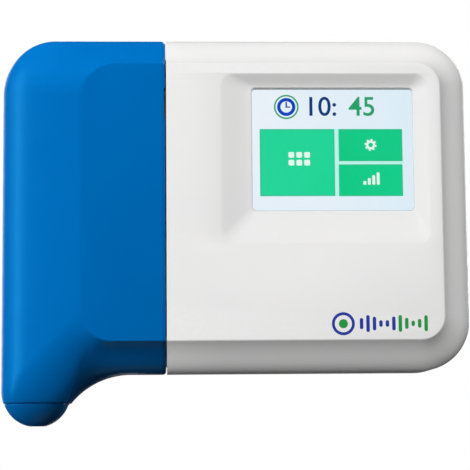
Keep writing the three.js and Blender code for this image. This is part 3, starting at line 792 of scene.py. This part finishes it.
def cable_outlet_cap_shell():
    top = FOOT_END - 0.1 * MM
    bm = form(0.2 * MM)
    slice_off(bm, (0, CAP_HIGH.y, 0), (0, 1, 0))
    slice_off(bm, (0, 0, CAP_LOW.z), (0, 0, -1))
    slice_off(bm, (0, 0, top), (0, 0, 1))
    round_rim(bm, (0, 0, top), (0, 0, 1), 0.5 * MM, 5)
    tidy_faces(bm)
    cap = new_object("cable_outlet_cap_shell", bm)
    join(cap, foot_post(WALL + 0.35 * MM, top - 2 * MM, CAP_HIGH.z))
    below = hollow(inset=2.3 * MM)
    below = cut(below, box(-1, 1, -1, 1, top - 2 * MM, 1))
    cut(cap, foot_post(WALL + 1.85 * MM, top - 3 * MM, CAP_HIGH.z + 1 * MM), below)
    return place(shade(cap), "cap", "cover_blue", BLUE, "cable_outlet_cap")


# ---------- rear housing ----------


def rear_housing_shell():
    right = cut(outline_slab(0, -PLATE, 0), box(-1, COVER_X + 0.3 * MM, -1, 1, -1, 1))
    left = cut(
        outline_slab(2.9 * MM, -PLATE, 0),
        box(COVER_X + 2 * MM, 1, -1, 1, -1, 1),
        box(-1, 1, -1, 1, -1, -TOP + 2.9 * MM),
    )
    right_lip = cut(
        outline_slab(WALL + 0.35 * MM, -6.5 * MM, -2 * MM),
        outline_slab(WALL + 1.85 * MM, -7 * MM, 0),
        box(-1, COVER_X + 4.6 * MM, -1, 1, -1, 1),
    )
    left_lip = cut(
        outline_slab(*mm(2.9, -5, -2)),
        outline_slab(4.4 * MM, -6 * MM, 0),
        box(COVER_X - 1.9 * MM, 1, -1, 1, -1, 1),
        box(-1, 1, -1, 1, -1, -52 * MM),
    )
    stands = posts_at([
        (HOUSING_SCREWS, 3.2, -6.6, -2), (BOARD_SCREWS, 3, -7.7, -2),
        (SHROUD_SCREWS, 2.4, -15.4, -2), (WALL_SCREWS, 5, -3.7, -2),
    ])
    anchor = box(*mm(-77, -67, -6, -2, -52.5, -48.5))
    anchor = cut(anchor, box(*mm(-74.4, -69.6, -4.6), -PLATE, -54 * MM, -47 * MM))
    body = join(right, left, right_lip, left_lip, *stands, anchor)
    bores = posts_at([
        (HOUSING_SCREWS, 1.6, -8, 1), (HOUSING_SCREWS, 3, -1.5, 1), (BOARD_SCREWS, 1.5, -9, -1.5),
        (SHROUD_SCREWS, 1.3, -16, -6), (WALL_SCREWS, 2.4, -5, 1), (WALL_SCREWS, 3.6, -5, -2.9),
    ])
    head = post(KEYHOLE_X, KEYHOLE_Z, *mm(4.6, -4, 1))
    reach = KEYHOLE_Z + KEYHOLE_RISE
    neck = box(KEYHOLE_X - 2.3 * MM, KEYHOLE_X + 2.3 * MM, -4 * MM, 1 * MM, KEYHOLE_Z, reach)
    keyhole = join(head, neck, post(KEYHOLE_X, reach, *mm(2.3, -4.1, 1.1)))
    rabbets = [
        box(-1, COVER_X - 0.05 * MM, -1.4 * MM, 1, TOP - 4.5 * MM, 1),
        box(-1, COVER_X - 0.05 * MM, -1.4 * MM, 1, -1, -TOP + 4.5 * MM),
    ]
    low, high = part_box("rating_label")
    gap = 0.4 * MM
    frame_points = rounded_rectangle(low.x - gap, high.x + gap, low.z - gap, high.z + gap, 1.9 * MM)
    label_pocket = slab(frame_points, -0.55 * MM, 1 * MM)
    cut(body, *bores, keyhole, *rabbets, label_pocket)
    body.name = "rear_housing_shell"
    return fixed(shade(body), WHITE, "housing_white", "rear_housing")


def label_plate(name, low, high, radius, steps=10):
    points = rounded_rectangle(low.x, high.x, low.z, high.z, radius, steps)
    return slab(points, low.y, high.y, name)


def rating_label():
    """A blank rating plate: ruled fields with nothing written in them."""
    low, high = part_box("rating_label")
    plate = label_plate("rating_label_plate", low, high, 1.5 * MM)
    rounded_edges(plate, 0.05 * MM)
    fixed(plate, PAPER, "label_paper", "rating_label")
    lines = []
    margin, half = 2.5 * MM, 0.1 * MM
    for i in range(5):
        z = high.z - margin - i * (high.z - low.z - 2 * margin) / 4
        lines.append(
            box(low.x + margin, high.x - margin, high.y, high.y + 0.02 * MM, z - half, z + half))
    fixed(merged(lines, "rating_label_rules"), INK_BLACK)


# ---------- screws ----------


def screw_piece(name, x, z, head_y, head_depth, head_radius, tip_y, shank_radius):
    """A pan-head screw with a cross recess. A negative head depth turns it to face the wall."""
    way = 1 if head_depth > 0 else -1
    depth = abs(head_depth)
    head_end = head_y + head_depth
    profile = [(0, head_y)]
    for i in range(1, 7):
        angle = QUARTER * i / 6
        dome = 0.55 * depth
        radius = head_radius * (0.55 + 0.45 * math.sin(angle))
        profile.append((radius, head_y + way * dome * (1 - math.cos(angle))))
    profile += [(head_radius, head_end), (shank_radius, head_end)]
    length = abs(tip_y - head_end)
    pitch = 1.0 * MM
    turns = int(length / pitch)
    for i in range(turns):
        y = head_end + way * i * pitch
        profile.append((shank_radius * 0.78, y + way * 0.2 * pitch))
        profile.append((shank_radius, y + way * 0.6 * pitch))
    profile += [(shank_radius * 0.6, tip_y - way * 0.3 * MM), (0, tip_y)]
    piece = turned(profile, x, z, 32, name)
    reach, half = head_radius * 0.52, head_radius * 0.11
    deep = sorted((head_y - way * 1 * MM, head_y + way * 0.6 * depth))
    cross = [
        box(x - reach, x + reach, *deep, z - half, z + half),
        box(x - half, x + half, *deep, z - reach, z + reach)]
    cut(piece, *cross)
    return shade(piece, 40)


def screws():
    sets = (
        ("housing_screw", HOUSING_SCREWS, -0.2, -1, 2.6, -16, 1.25),
        ("board_screw", BOARD_SCREWS, -11.3, 1.4, 2.5, -3, 1.1),
        ("shroud_screw", SHROUD_SCREWS, -19.2, 1.4, 2.3, -8, 1),
        ("display_screw", DISPLAY_SCREWS, -21.2, -1.3, 2, -27.8, 1),
    )
    for name, places, *sizes in sets:
        for i, (x, z) in enumerate(places):
            piece = screw_piece(f"{name}_{i + 1}_threaded", x * MM, z * MM, *mm(*sizes))
            fixed(piece, STEEL, "screw_steel", f"{name}_{i + 1}")


# ---------- screen ----------


def screen_slab(x0, x1, z0, z1, radius, name, lift):
    points = rounded_rectangle(x0 * MM, x1 * MM, z0 * MM, z1 * MM, radius * MM, 6)
    return slab(points, PICTURE_Y - lift * MM, PICTURE_Y, name)


def picture():
    grow = 0.5 * MM
    x0, x1, z0, z1 = WINDOW
    points = rounded_rectangle(x0 - grow, x1 + grow, z0 - grow, z1 + grow, WINDOW_CORNER + grow)
    ground = slab(points, PICTURE_Y, PICTURE_Y + 0.15 * MM, "display_picture")
    light = lit_colour("picture_ground", (243, 248, 255), (236, 246, 254), (226, 243, 253))
    fixed(ground, light)
    # A grey glowing frame on the picture's left, lower and upper edges, with none on the right:
    # painted shade of the window's edge.
    border = slab(points, PICTURE_Y - 0.02 * MM, PICTURE_Y, "picture_edge_shade")
    shown = (x0 + 0.22 * MM, x1 + 0.1 * MM, z0 + 0.5 * MM, z1 - 0.22 * MM)
    opening = rounded_rectangle(*shown, WINDOW_CORNER)
    cut(border, slab(opening, PICTURE_Y - 1 * MM, PICTURE_Y + 0.1 * MM))
    fixed(border, lit_colour("picture_edge_shade", (188, 194, 200), (182, 188, 194)))
    # picture_top_shade is a painted shadow: a dark glowing strip along the top of the picture, where
    # the window's top edge would cast shade.
    layers = (
        ("picture_top_shade", 7.2, 66.9, 43.3, 44.0, 0.03, (132, 140, 144), (124, 132, 136)),
        ("tile_field", 9.2, 63.9, 2.05, 28.2, 0.02, (190, 252, 240), (184, 250, 236)),
    )
    for name, x0, x1, z0, z1, lift, colour, other in layers:
        fixed(screen_slab(x0, x1, z0, z1, 0.2, name, lift), lit_colour(name, colour, other))
    tiles = (
        ("tile_zones", 9.4, 37.8, 2.35, 28.0, (34, 217, 154), (40, 219, 160)),
        ("tile_settings", 39.4, 63.7, 15.64, 28.0, (14, 205, 133), (24, 208, 140)),
        ("tile_status", 39.3, 63.6, 2.25, 14.4, (16, 207, 137), (26, 212, 146)),
    )
    for name, x0, x1, z0, z1, colour, other in tiles:
        rim = screen_slab(x0, x1, z0, z1, 0.15, name + "_rim", 0.03)
        fixed(rim, lit_colour(name + "_rim", (60, 184, 140), (54, 178, 134)))
        inner = screen_slab(x0 + 0.35, x1 - 0.35, z0 + 0.35, z1 - 0.35, 0.1, name, 0.04)
        fixed(inner, lit_colour(name, colour, other))


def screen_icons():
    """White signs on the tiles: a field of plots, a gear and rising bars."""
    front, back = PICTURE_Y - 0.055 * MM, PICTURE_Y - 0.035 * MM
    white = lit_colour("icon_white", (236, 255, 246), (228, 252, 242))
    plots = []
    for column in range(3):
        for row in range(2):
            x, z = (20.2 + column * 3.0) * MM, (14.0 + row * 3.0) * MM
            plots.append(
                slab(rounded_rectangle(x, x + 2.2 * MM, z, z + 2.2 * MM, 0.5 * MM, 4), front, back))
    fixed(merged(plots, "icon_plots"), white)
    x, z = 51.6 * MM, 21.9 * MM
    teeth = []
    count = 8
    for i in range(count * 2):
        start = 2 * math.pi * i / (count * 2)
        radius = (2.3 if i % 2 else 1.75) * MM
        for step in range(4):
            angle = start + 2 * math.pi / (count * 2) * (0.1 + 0.8 * step / 3)
            teeth.append(Vector((x + radius * math.cos(angle), z + radius * math.sin(angle))))
    gear = slab(teeth, front, back, "icon_gear")
    cut(gear, post(x, z, 0.85 * MM, front - 1 * MM, back + 1 * MM))
    fixed(gear, white)
    bars = []
    for i in range(4):
        x = (48.6 + i * 1.7) * MM
        z = 6.6 * MM
        points = rounded_rectangle(x, x + 1.1 * MM, z, z + (1.4 + i * 1.1) * MM, 0.3 * MM, 4)
        bars.append(slab(points, front, back))
    fixed(merged(bars, "icon_bars"), white)


def screen_header():
    """A clock face and the time of day over the tiles."""
    front, back = PICTURE_Y - 0.03 * MM, PICTURE_Y - 0.005 * MM
    x, z = 19.6 * MM, 36.6 * MM
    blue = lit_colour("header_blue", (10, 74, 200), (6, 66, 190))
    navy = lit_colour("header_navy", (18, 66, 128), (12, 58, 118))
    green = lit_colour("header_green", (44, 168, 112), (36, 158, 104))
    rim = ring_slab(x, z, 4.7 * MM, 4.1 * MM, front, back, "clock_rim", 64)
    fixed(rim, green)
    dial = ring_slab(x, z, 3.5 * MM, 2.2 * MM, front, back, "clock_dial", 64)
    fixed(dial, blue)
    hands = [
        box(x - 0.3 * MM, x + 0.3 * MM, front, back, z, z + 2.0 * MM),
        box(x - 0.3 * MM, x + 1.5 * MM, front, back, z - 0.3 * MM, z + 0.2 * MM),
    ]
    fixed(join(*hands), blue).name = "clock_hands"
    depth = back - front
    size, height = 10.4 * MM, 36.4 * MM
    for text, at, name, colour in (
            ("10:", 26.4, "time_hours", navy), ("45", 43.4, "time_minutes", green)):
        fixed(lettering(text, size, at * MM, back, height, depth, name, weight=0.09 * MM), colour)


def mark_parts(y0, y1):
    """A plain two-tone sign for the lower right of the housing: a ring round a dot, and a row of
    bars that swell and shrink."""
    x, z = 39.6 * MM, -46.5 * MM
    first, last = 46.4 * MM, 70.6 * MM
    count, split = 11, 6
    ring = ring_slab(x, z, 4.3 * MM, 3.2 * MM, y0, y1, "mark_ring")
    dot = post(x, z, 1.7 * MM, y0, y1, 40, "mark_dot")
    bars = []
    for i in range(count):
        centre = first + (last - first) * i / (count - 1)
        half = (2.1 + 1.1 * math.sin(i * 1.35)) * MM
        points = rounded_rectangle(
            centre - 0.66 * MM, centre + 0.66 * MM, z - half, z + half, 0.65 * MM, 6)
        bars.append(slab(points, y0, y1, "mark_bar"))
    first_bars = merged(bars[:split], "mark_bars_blue")
    return ring, dot, first_bars, merged(bars[split:], "mark_bars_green")


def printed_mark():
    inks = (INK_BLUE, INK_GREEN, INK_BLUE, INK_GREEN)
    for piece, ink in zip(mark_parts(-DEPTH, -DEPTH + 0.035 * MM), inks):
        fixed(piece, ink)


# ---------- wiring terminals ----------


def way_z(block, way):
    return (1 - block) * BLOCK_STEP + ((WAYS - 1) / 2 - way) * PITCH


def all_ways():
    """Number, block's own number of the way, and height of every way."""
    for block in range(BLOCKS):
        for way in range(WAYS):
            yield block * WAYS + way + 1, way, way_z(block, way)


def terminal_blocks():
    low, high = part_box("terminal_block_2")
    lever_low, lever_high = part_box("lever_07")
    body = box(low.x, high.x, low.y, high.y, low.z, high.z)
    rounded_edges(body, 0.35 * MM, 3)
    gap = 0.3 * MM
    step = box(
        high.x - 2 * MM, high.x + 1 * MM, low.y - 1 * MM, low.y + 2.5 * MM, low.z - 1 * MM,
        high.z + 1 * MM)
    tools = [step]
    slots, bores, mouths, grooves = [], [], [], []
    for way in range(WAYS):
        z = way_z(1, way)
        slots.append(box(
            lever_low.x - gap, lever_high.x + gap, low.y - 1 * MM, -13.8 * MM,
            z - 1.5 * MM, z + 1.5 * MM))
        for store, radius0, radius1, x0, x1 in (
                (bores, 1.4, 1.4, low.x - 1 * MM, lever_low.x + 0.5 * MM),
                (mouths, 2.1, 1.3, low.x - 0.1 * MM, low.x + 1.5 * MM)):
            bm = bmesh.new()
            middle = Matrix.Translation(((x0 + x1) / 2, -20.4 * MM, z))
            bmesh.ops.create_cone(
                bm, cap_ends=True, segments=28, radius1=radius0 * MM, radius2=radius1 * MM,
                depth=x1 - x0, matrix=middle @ Matrix.Rotation(QUARTER, 4, "Y"))
            store.append(new_object("bore", bm))
        if way:
            edge = z + PITCH / 2
            grooves.append(box(
                low.x - 1 * MM, lever_low.x - 1 * MM, low.y - 1 * MM, low.y + 0.35 * MM,
                edge - 0.2 * MM, edge + 0.2 * MM))
    for group in (slots, bores, mouths, grooves):
        tools.append(merged(group, "tools"))
    cut(body, *tools)
    shade(body, 30)
    for block in range(BLOCKS):
        move = Vector((0, 0, (1 - block) * BLOCK_STEP))
        copy = moved_copy(body, f"terminal_block_{block + 1}_body", move)
        fixed(copy, GREY, "terminal_grey", f"terminal_block_{block + 1}")
    bpy.data.objects.remove(body)


def levers():
    """Sprung levers: a rounded key with a driver slot, four fine grooves and a sloping foot."""
    low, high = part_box("lever_01")
    z = (low.z + high.z) / 2
    key = box(low.x, high.x, low.y, high.y, low.z, high.z)
    slope = box(low.x - 1 * MM, low.x + 2.2 * MM, -21.9 * MM, -19 * MM, z - 2 * MM, z + 2 * MM)
    cut(key, slope)
    rounded_edges(key, 0.28 * MM, 3)
    driver = box(-45 * MM, -43 * MM, low.y - 1 * MM, low.y + 0.7 * MM, z - 0.7 * MM, z + 0.7 * MM)
    ribs = [
        box(x * MM, (x + 0.25) * MM, low.y - 1 * MM, low.y + 0.15 * MM, z - 0.8 * MM, z + 0.8 * MM)
        for x in (-46.5, -46.0, -42.3, -41.8)
    ]
    cut(key, driver, merged(ribs, "ribs"))
    shade(key, 35)
    for number, _, at in all_ways():
        name = f"lever_{number:02d}"
        copy = moved_copy(key, name + "_key", Vector((0, 0, at - z)))
        place(copy, name, "lever_orange", ORANGE, name)
        fixed(clamp_spring(at, f"clamp_spring_{number:02d}"), STEEL, "screw_steel")
    bpy.data.objects.remove(key)


def clamp_spring(at, name):
    """A bent strip that nips the wire under a lever."""
    half, thick = 1.1 * MM, 0.25 * MM
    path = []
    for i in range(13):
        t = i / 12
        path.append(
            Vector(((-46.9 + 5.6 * t) * MM, (-14.1 - 3.6 * math.sin(math.pi * t) ** 0.8) * MM)))
    bm = bmesh.new()
    rings = []
    for i, point in enumerate(path):
        ahead = path[min(i + 1, len(path) - 1)] - path[max(i - 1, 0)]
        side = Vector((-ahead.y, ahead.x)).normalized() * thick / 2
        over, under = point + side, point - side
        edges = ((over, -half), (over, half), (under, half), (under, -half))
        ring = [bm.verts.new((spot.x, spot.y, at + z)) for spot, z in edges]
        rings.append(ring)
    skin(bm, rings)
    bm.faces.new(rings[0])
    bm.faces.new(rings[-1])
    return shade(new_object(name, bm), 50)


def terminal_shroud():
    low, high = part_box("terminal_shroud")
    top, under = SHROUD_TOP, SHROUD_TOP + 1.8 * MM
    block_low, block_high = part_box("terminal_block_2")
    shell = box(low.x, high.x, low.y, high.y, low.z, high.z, "terminal_shroud_shell")
    rounded_edges(shell, 0.6 * MM, 3)
    inside = box(
        low.x + 2 * MM, high.x + 1 * MM, under, high.y + 1 * MM, low.z + 1.8 * MM,
        high.z - 1.8 * MM)
    opening = box(
        block_low.x - 0.5 * MM, block_high.x + 0.5 * MM, top - 1 * MM, under + 1 * MM, -46.3 * MM,
        46.3 * MM)
    rounded_edges(opening, 0.8 * MM, 3)
    holes = posts_at([(SHROUD_SCREWS, 1.5, -19, -15)])
    ticks = []
    for _, _, z in all_ways():
        ticks.append(
            box(-56 * MM, -53.4 * MM, top - 1 * MM, top + 0.3 * MM, z - 0.25 * MM, z + 0.25 * MM))
    cut(shell, inside, opening, *holes, merged(ticks, "ticks"))
    fixed(shade(shell, 30), PALE, "shroud_pale", "terminal_shroud")


def terminal_label():
    """A strip that numbers the ways."""
    low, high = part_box("terminal_label")
    strip = label_plate("terminal_label_strip", low, high, 0.8 * MM, 5)
    fixed(strip, PAPER, "label_paper", "terminal_label")
    rules = []
    for number, way, z in all_ways():
        name = f"way_number_{number:02d}"
        figures = lettering(
            str(number), 3.2 * MM, (low.x + high.x) / 2, low.y, z, 0.02 * MM, name, "CENTER")
        fixed(figures, INK_BLACK)
        if way:
            edge = z + PITCH / 2
            rules.append(box(low.x + 0.6 * MM, high.x - 0.6 * MM, low.y - 0.02 * MM, low.y,
                             edge - 0.06 * MM, edge + 0.06 * MM))
    fixed(merged(rules, "terminal_label_rules"), INK_BLACK)


# ---------- pieces inside ----------


def refined(name, finish, slot, width):
    """A finer copy of a node with rounded edges, in its place."""
    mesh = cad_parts[name].data.copy()
    piece = linked(name + "_fine", mesh)
    bm = bmesh.new()
    bm.from_mesh(mesh)
    bmesh.ops.remove_doubles(bm, verts=bm.verts, dist=1e-6)
    bmesh.ops.dissolve_limit(bm, angle_limit=math.radians(1), verts=bm.verts, edges=bm.edges)
    bm.to_mesh(mesh)
    bm.free()
    rounded_edges(piece, width, 2, 30)
    return fixed(shade(piece, 30), finish, slot, name)


def inner_pieces():
    for finish, slot, *names in (
            (FOAM, "foam_black", "panel_gasket"),
            (PLATED, "display_steel", "display_module", "display_bracket"),
            (RIBBON, "ribbon_amber", "display_ribbon"),
            (CREAM, "connector_cream", "ribbon_connector"),
            (BOARD, "board_green", "main_circuit_board"),
            (CHIP, "chip_black", "processor", "memory_chip"),
            (BOARD, "board_green", "radio_board"),
            (TIN, "shield_tin", "radio_shield"),
            (CHIP, "chip_black", "rectifier", "inductor"),
            (FUSE, "fuse_amber", "resettable_fuse"),
            (CAN, "can_dark", "capacitor_1", "capacitor_2", "capacitor_3")):
        for name in names:
            thin = name in ("panel_gasket", "display_ribbon", "main_circuit_board", "radio_board")
            refined(name, finish, slot, 0.03 * MM if thin else 0.15 * MM)


def chip_legs():
    """Gull-wing legs round the processor and the memory chip."""
    half, ahead = 0.15 * MM, (BOARD_Y - 0.5 * MM, BOARD_Y - 0.02 * MM)
    for name, sides in (("processor", 4), ("memory_chip", 2)):
        low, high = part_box(name)
        legs = []
        count = 12 if sides == 4 else 4
        for side in range(sides):
            for i in range(count):
                t = (i + 1) / (count + 1)
                if side % 2 == 0:
                    x = low.x + (high.x - low.x) * t
                    z0 = high.z if side == 0 else low.z - LEG
                    spot = (x - half, x + half, *ahead, z0, z0 + LEG)
                else:
                    z = low.z + (high.z - low.z) * t
                    x0 = high.x if side == 1 else low.x - LEG
                    spot = (x0, x0 + LEG, *ahead, z - half, z + half)
                legs.append(box(*spot))
        fixed(merged(legs, name + "_legs"), TIN, "shield_tin")


def switching_parts():
    """A triac and a surge absorber beside each group of ways."""
    for i in range(7):
        z = (36 - i * 12) * MM
        profile = ((0, 6), (2.1, 6), (2.3, 5.8), (2.3, 1.6), (2.1, 1.4), (0, 1.4))
        profile = [(radius * MM, BOARD_Y - rise * MM) for radius, rise in profile]
        body = turned(profile, -31 * MM, z + 5 * MM, 28, f"triac_{i + 1}")
        cut(body, box(*mm(-30, -27, -20), 0, z, z + 10 * MM))
        fixed(shade(body), CHIP, "chip_black")
        x, y = -22 * MM, BOARD_Y - 4.2 * MM
        profile = []
        for step in range(13):
            angle = math.pi * step / 12
            radius = 3.0 * MM * math.sin(angle) ** 0.55 if 0 < step < 12 else 0
            profile.append((radius, -1.1 * MM * math.cos(angle)))
        disc = turned(profile, 0, 0, 28, f"surge_absorber_{i + 1}")
        disc.data.transform(
            Matrix.Translation((x, y, z + 5 * MM)) @ Matrix.Rotation(QUARTER, 4, "Z"))
        fixed(shade(disc, 60), FUSE, "fuse_amber")


# ---------- studio ----------


def look(yaw, pitch, roll):
    """The camera's turn: yaw from +Y towards +X, pitch upwards, roll anticlockwise."""
    turn = Matrix.Rotation(-yaw, 4, "Z") @ Matrix.Rotation(pitch + QUARTER, 4, "X")
    return turn @ Matrix.Rotation(roll, 4, "Z")


def camera():
    data = bpy.data.cameras.new("camera")
    data.sensor_width = 36
    data.lens = LENS_LENGTH
    data.clip_start = 0.01
    piece = linked("camera", data)
    turn = look(*(math.radians(angle) for angle in CAMERA_ANGLES))
    back = turn @ Vector((0, 0, 1))
    piece.matrix_world = Matrix.Translation(Vector(CAMERA_AIM) + back * CAMERA_DISTANCE) @ turn
    bpy.context.scene.camera = piece


def softbox(name, azimuth, elevation, distance, size, power, colour, receivers, shine):
    """A soft area light aimed at the object. Azimuth is towards +X from the front, in degrees."""
    data = bpy.data.lights.new(name, "AREA")
    data.shape = "RECTANGLE"
    data.size, data.size_y = size
    data.energy = power
    data.color = colour
    piece = linked(name, data)
    turn, rise = math.radians(azimuth), math.radians(elevation)
    away = Vector(
        (math.sin(turn) * math.cos(rise), -math.cos(turn) * math.cos(rise), math.sin(rise)))
    piece.location = away * distance
    piece.rotation_euler = away.to_track_quat("Z", "Y").to_euler()
    piece.visible_glossy = shine
    if receivers:
        piece.light_linking.receiver_collection = receivers


def light_group(name, pieces, state):
    """A set of pieces that a light reaches, or that it leaves out."""
    group = bpy.data.collections.new(name)
    for piece in pieces:
        group.objects.link(piece)
    for entry in group.collection_objects:
        entry.light_linking.link_state = state
    return group


def sky():
    """White for the eye, and a weak even light for the object."""
    world = bpy.data.worlds.new("studio")
    bpy.context.scene.world = world
    world.use_nodes = True
    tree = world.node_tree
    seen = fed(tree.nodes["Background"], Color=(1, 1, 1, 1))
    lit = fed(tree.nodes.new("ShaderNodeBackground"), Color=(1, 1, 1, 1), Strength=WORLD)
    path = tree.nodes.new("ShaderNodeLightPath")
    mix = tree.nodes.new("ShaderNodeMixShader")
    tree.links.new(path.outputs["Is Camera Ray"], mix.inputs["Fac"])
    tree.links.new(lit.outputs["Background"], mix.inputs[1])
    tree.links.new(seen.outputs["Background"], mix.inputs[2])
    tree.links.new(mix.outputs["Shader"], tree.nodes["World Output"].inputs["Surface"])


def floor():
    bm = bmesh.new()
    bmesh.ops.create_circle(bm, cap_ends=True, segments=96, radius=0.5)
    piece = new_object("floor", bm)
    piece.location.z = -1.5
    made, tree, shader = material("floor_pale")
    haze = clouded(tree, 6, 2, 0.5, 7)
    tree.links.new(
        blended(tree, haze, srgb(236, 236, 236), srgb(241, 241, 240)), shader.inputs["Base Color"])
    fed(shader, Roughness=0.7)
    paint(piece, made)


def studio(blue_pieces):
    """The blue cover has lights of its own, from further to the left: its underside stays deep."""
    bpy.context.scene.view_settings.view_transform = "Standard"
    camera()
    sky()
    floor()
    only_blue = light_group("blue_only", blue_pieces, "INCLUDE")
    not_blue = light_group("all_but_blue", blue_pieces, "EXCLUDE")
    no_lens = light_group(
        "no_blue_no_lens", blue_pieces + [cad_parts["touch_panel"]], "EXCLUDE")
    groups = {"blue": only_blue, "rest": not_blue, "no_lens": no_lens, "all": None}
    for name, azimuth, elevation, distance, size, power, group, colour, shine in LIGHTS:
        softbox(name, azimuth, elevation, distance, size, power, colour, groups[group], shine)


LENS_LENGTH = 130.2
CAMERA_ANGLES = (2.38, 7.07, -0.48)                 # yaw, pitch and roll, in degrees
CAMERA_AIM = (-0.54 * MM, -DEPTH, -13.06 * MM)
CAMERA_DISTANCE = 635.8 * MM
WORLD = 0.01                                        # how strongly the sky lights the object
PLAIN = (1, 1, 1)
COOL = (0.3, 0.95, 1)
LIGHTS = (  # name, azimuth, elevation, distance, size, power, group, colour, seen in the gloss
    ("front_low", 0, 10, 1.5, (0.6, 0.6), 6.2, "no_lens", PLAIN, True),
    ("front_high", 0, 45, 1.5, (0.7, 0.7), 1.2, "rest", PLAIN, True),
    ("left_high", -45, 35, 1.5, (0.7, 0.7), 10.6, "rest", PLAIN, True),
    ("left_strip", -72, 0, 1.3, (0.3, 1.6), 8.3, "rest", PLAIN, True),
    ("right_high", 45, 45, 1.5, (0.7, 0.7), 9.4, "rest", PLAIN, True),
    ("right_low", 30, -10, 1.4, (0.7, 0.7), 0.6, "rest", PLAIN, True),
    ("under", 0, -35, 1.2, (0.7, 0.7), 1.0, "rest", PLAIN, True),
    ("cover_top", 0, 55, 1.5, (0.7, 0.7), 4.2, "blue", COOL, False),
    ("cover_left", -45, 35, 1.5, (0.7, 0.7), 11.0, "blue", COOL, False),
    ("cover_right", 45, 40, 1.5, (0.7, 0.7), 13.2, "blue", COOL, False),
    ("cover_strip", -72, 6, 1.3, (0.2, 1.3), 11.0, "blue", COOL, True),
    ("cover_side", -88, 14, 1.3, (0.5, 0.5), 1.0, "blue", COOL, True),
    ("cover_sheen", -45, 35, 1.5, (0.7, 0.7), 3.4, "blue", COOL, True),
    ("back_right", 150, 20, 1.5, (1.0, 1.0), 13, "all", PLAIN, True),
    ("back_left", -160, 10, 1.5, (1.0, 1.0), 7, "all", PLAIN, True),
)

front_housing_shell(mark_parts(-DEPTH - 1 * MM, -DEPTH + 0.03 * MM))
blue = [wiring_cover_shell(), cable_outlet_cap_shell()]
rear_housing_shell()
for make in (
        rating_label, screws, picture, screen_icons, screen_header, printed_mark, terminal_blocks,
        levers, terminal_shroud, terminal_label, inner_pieces, chip_legs, switching_parts):
    make()
paint(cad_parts["touch_panel"], LENS)
studio(blue)
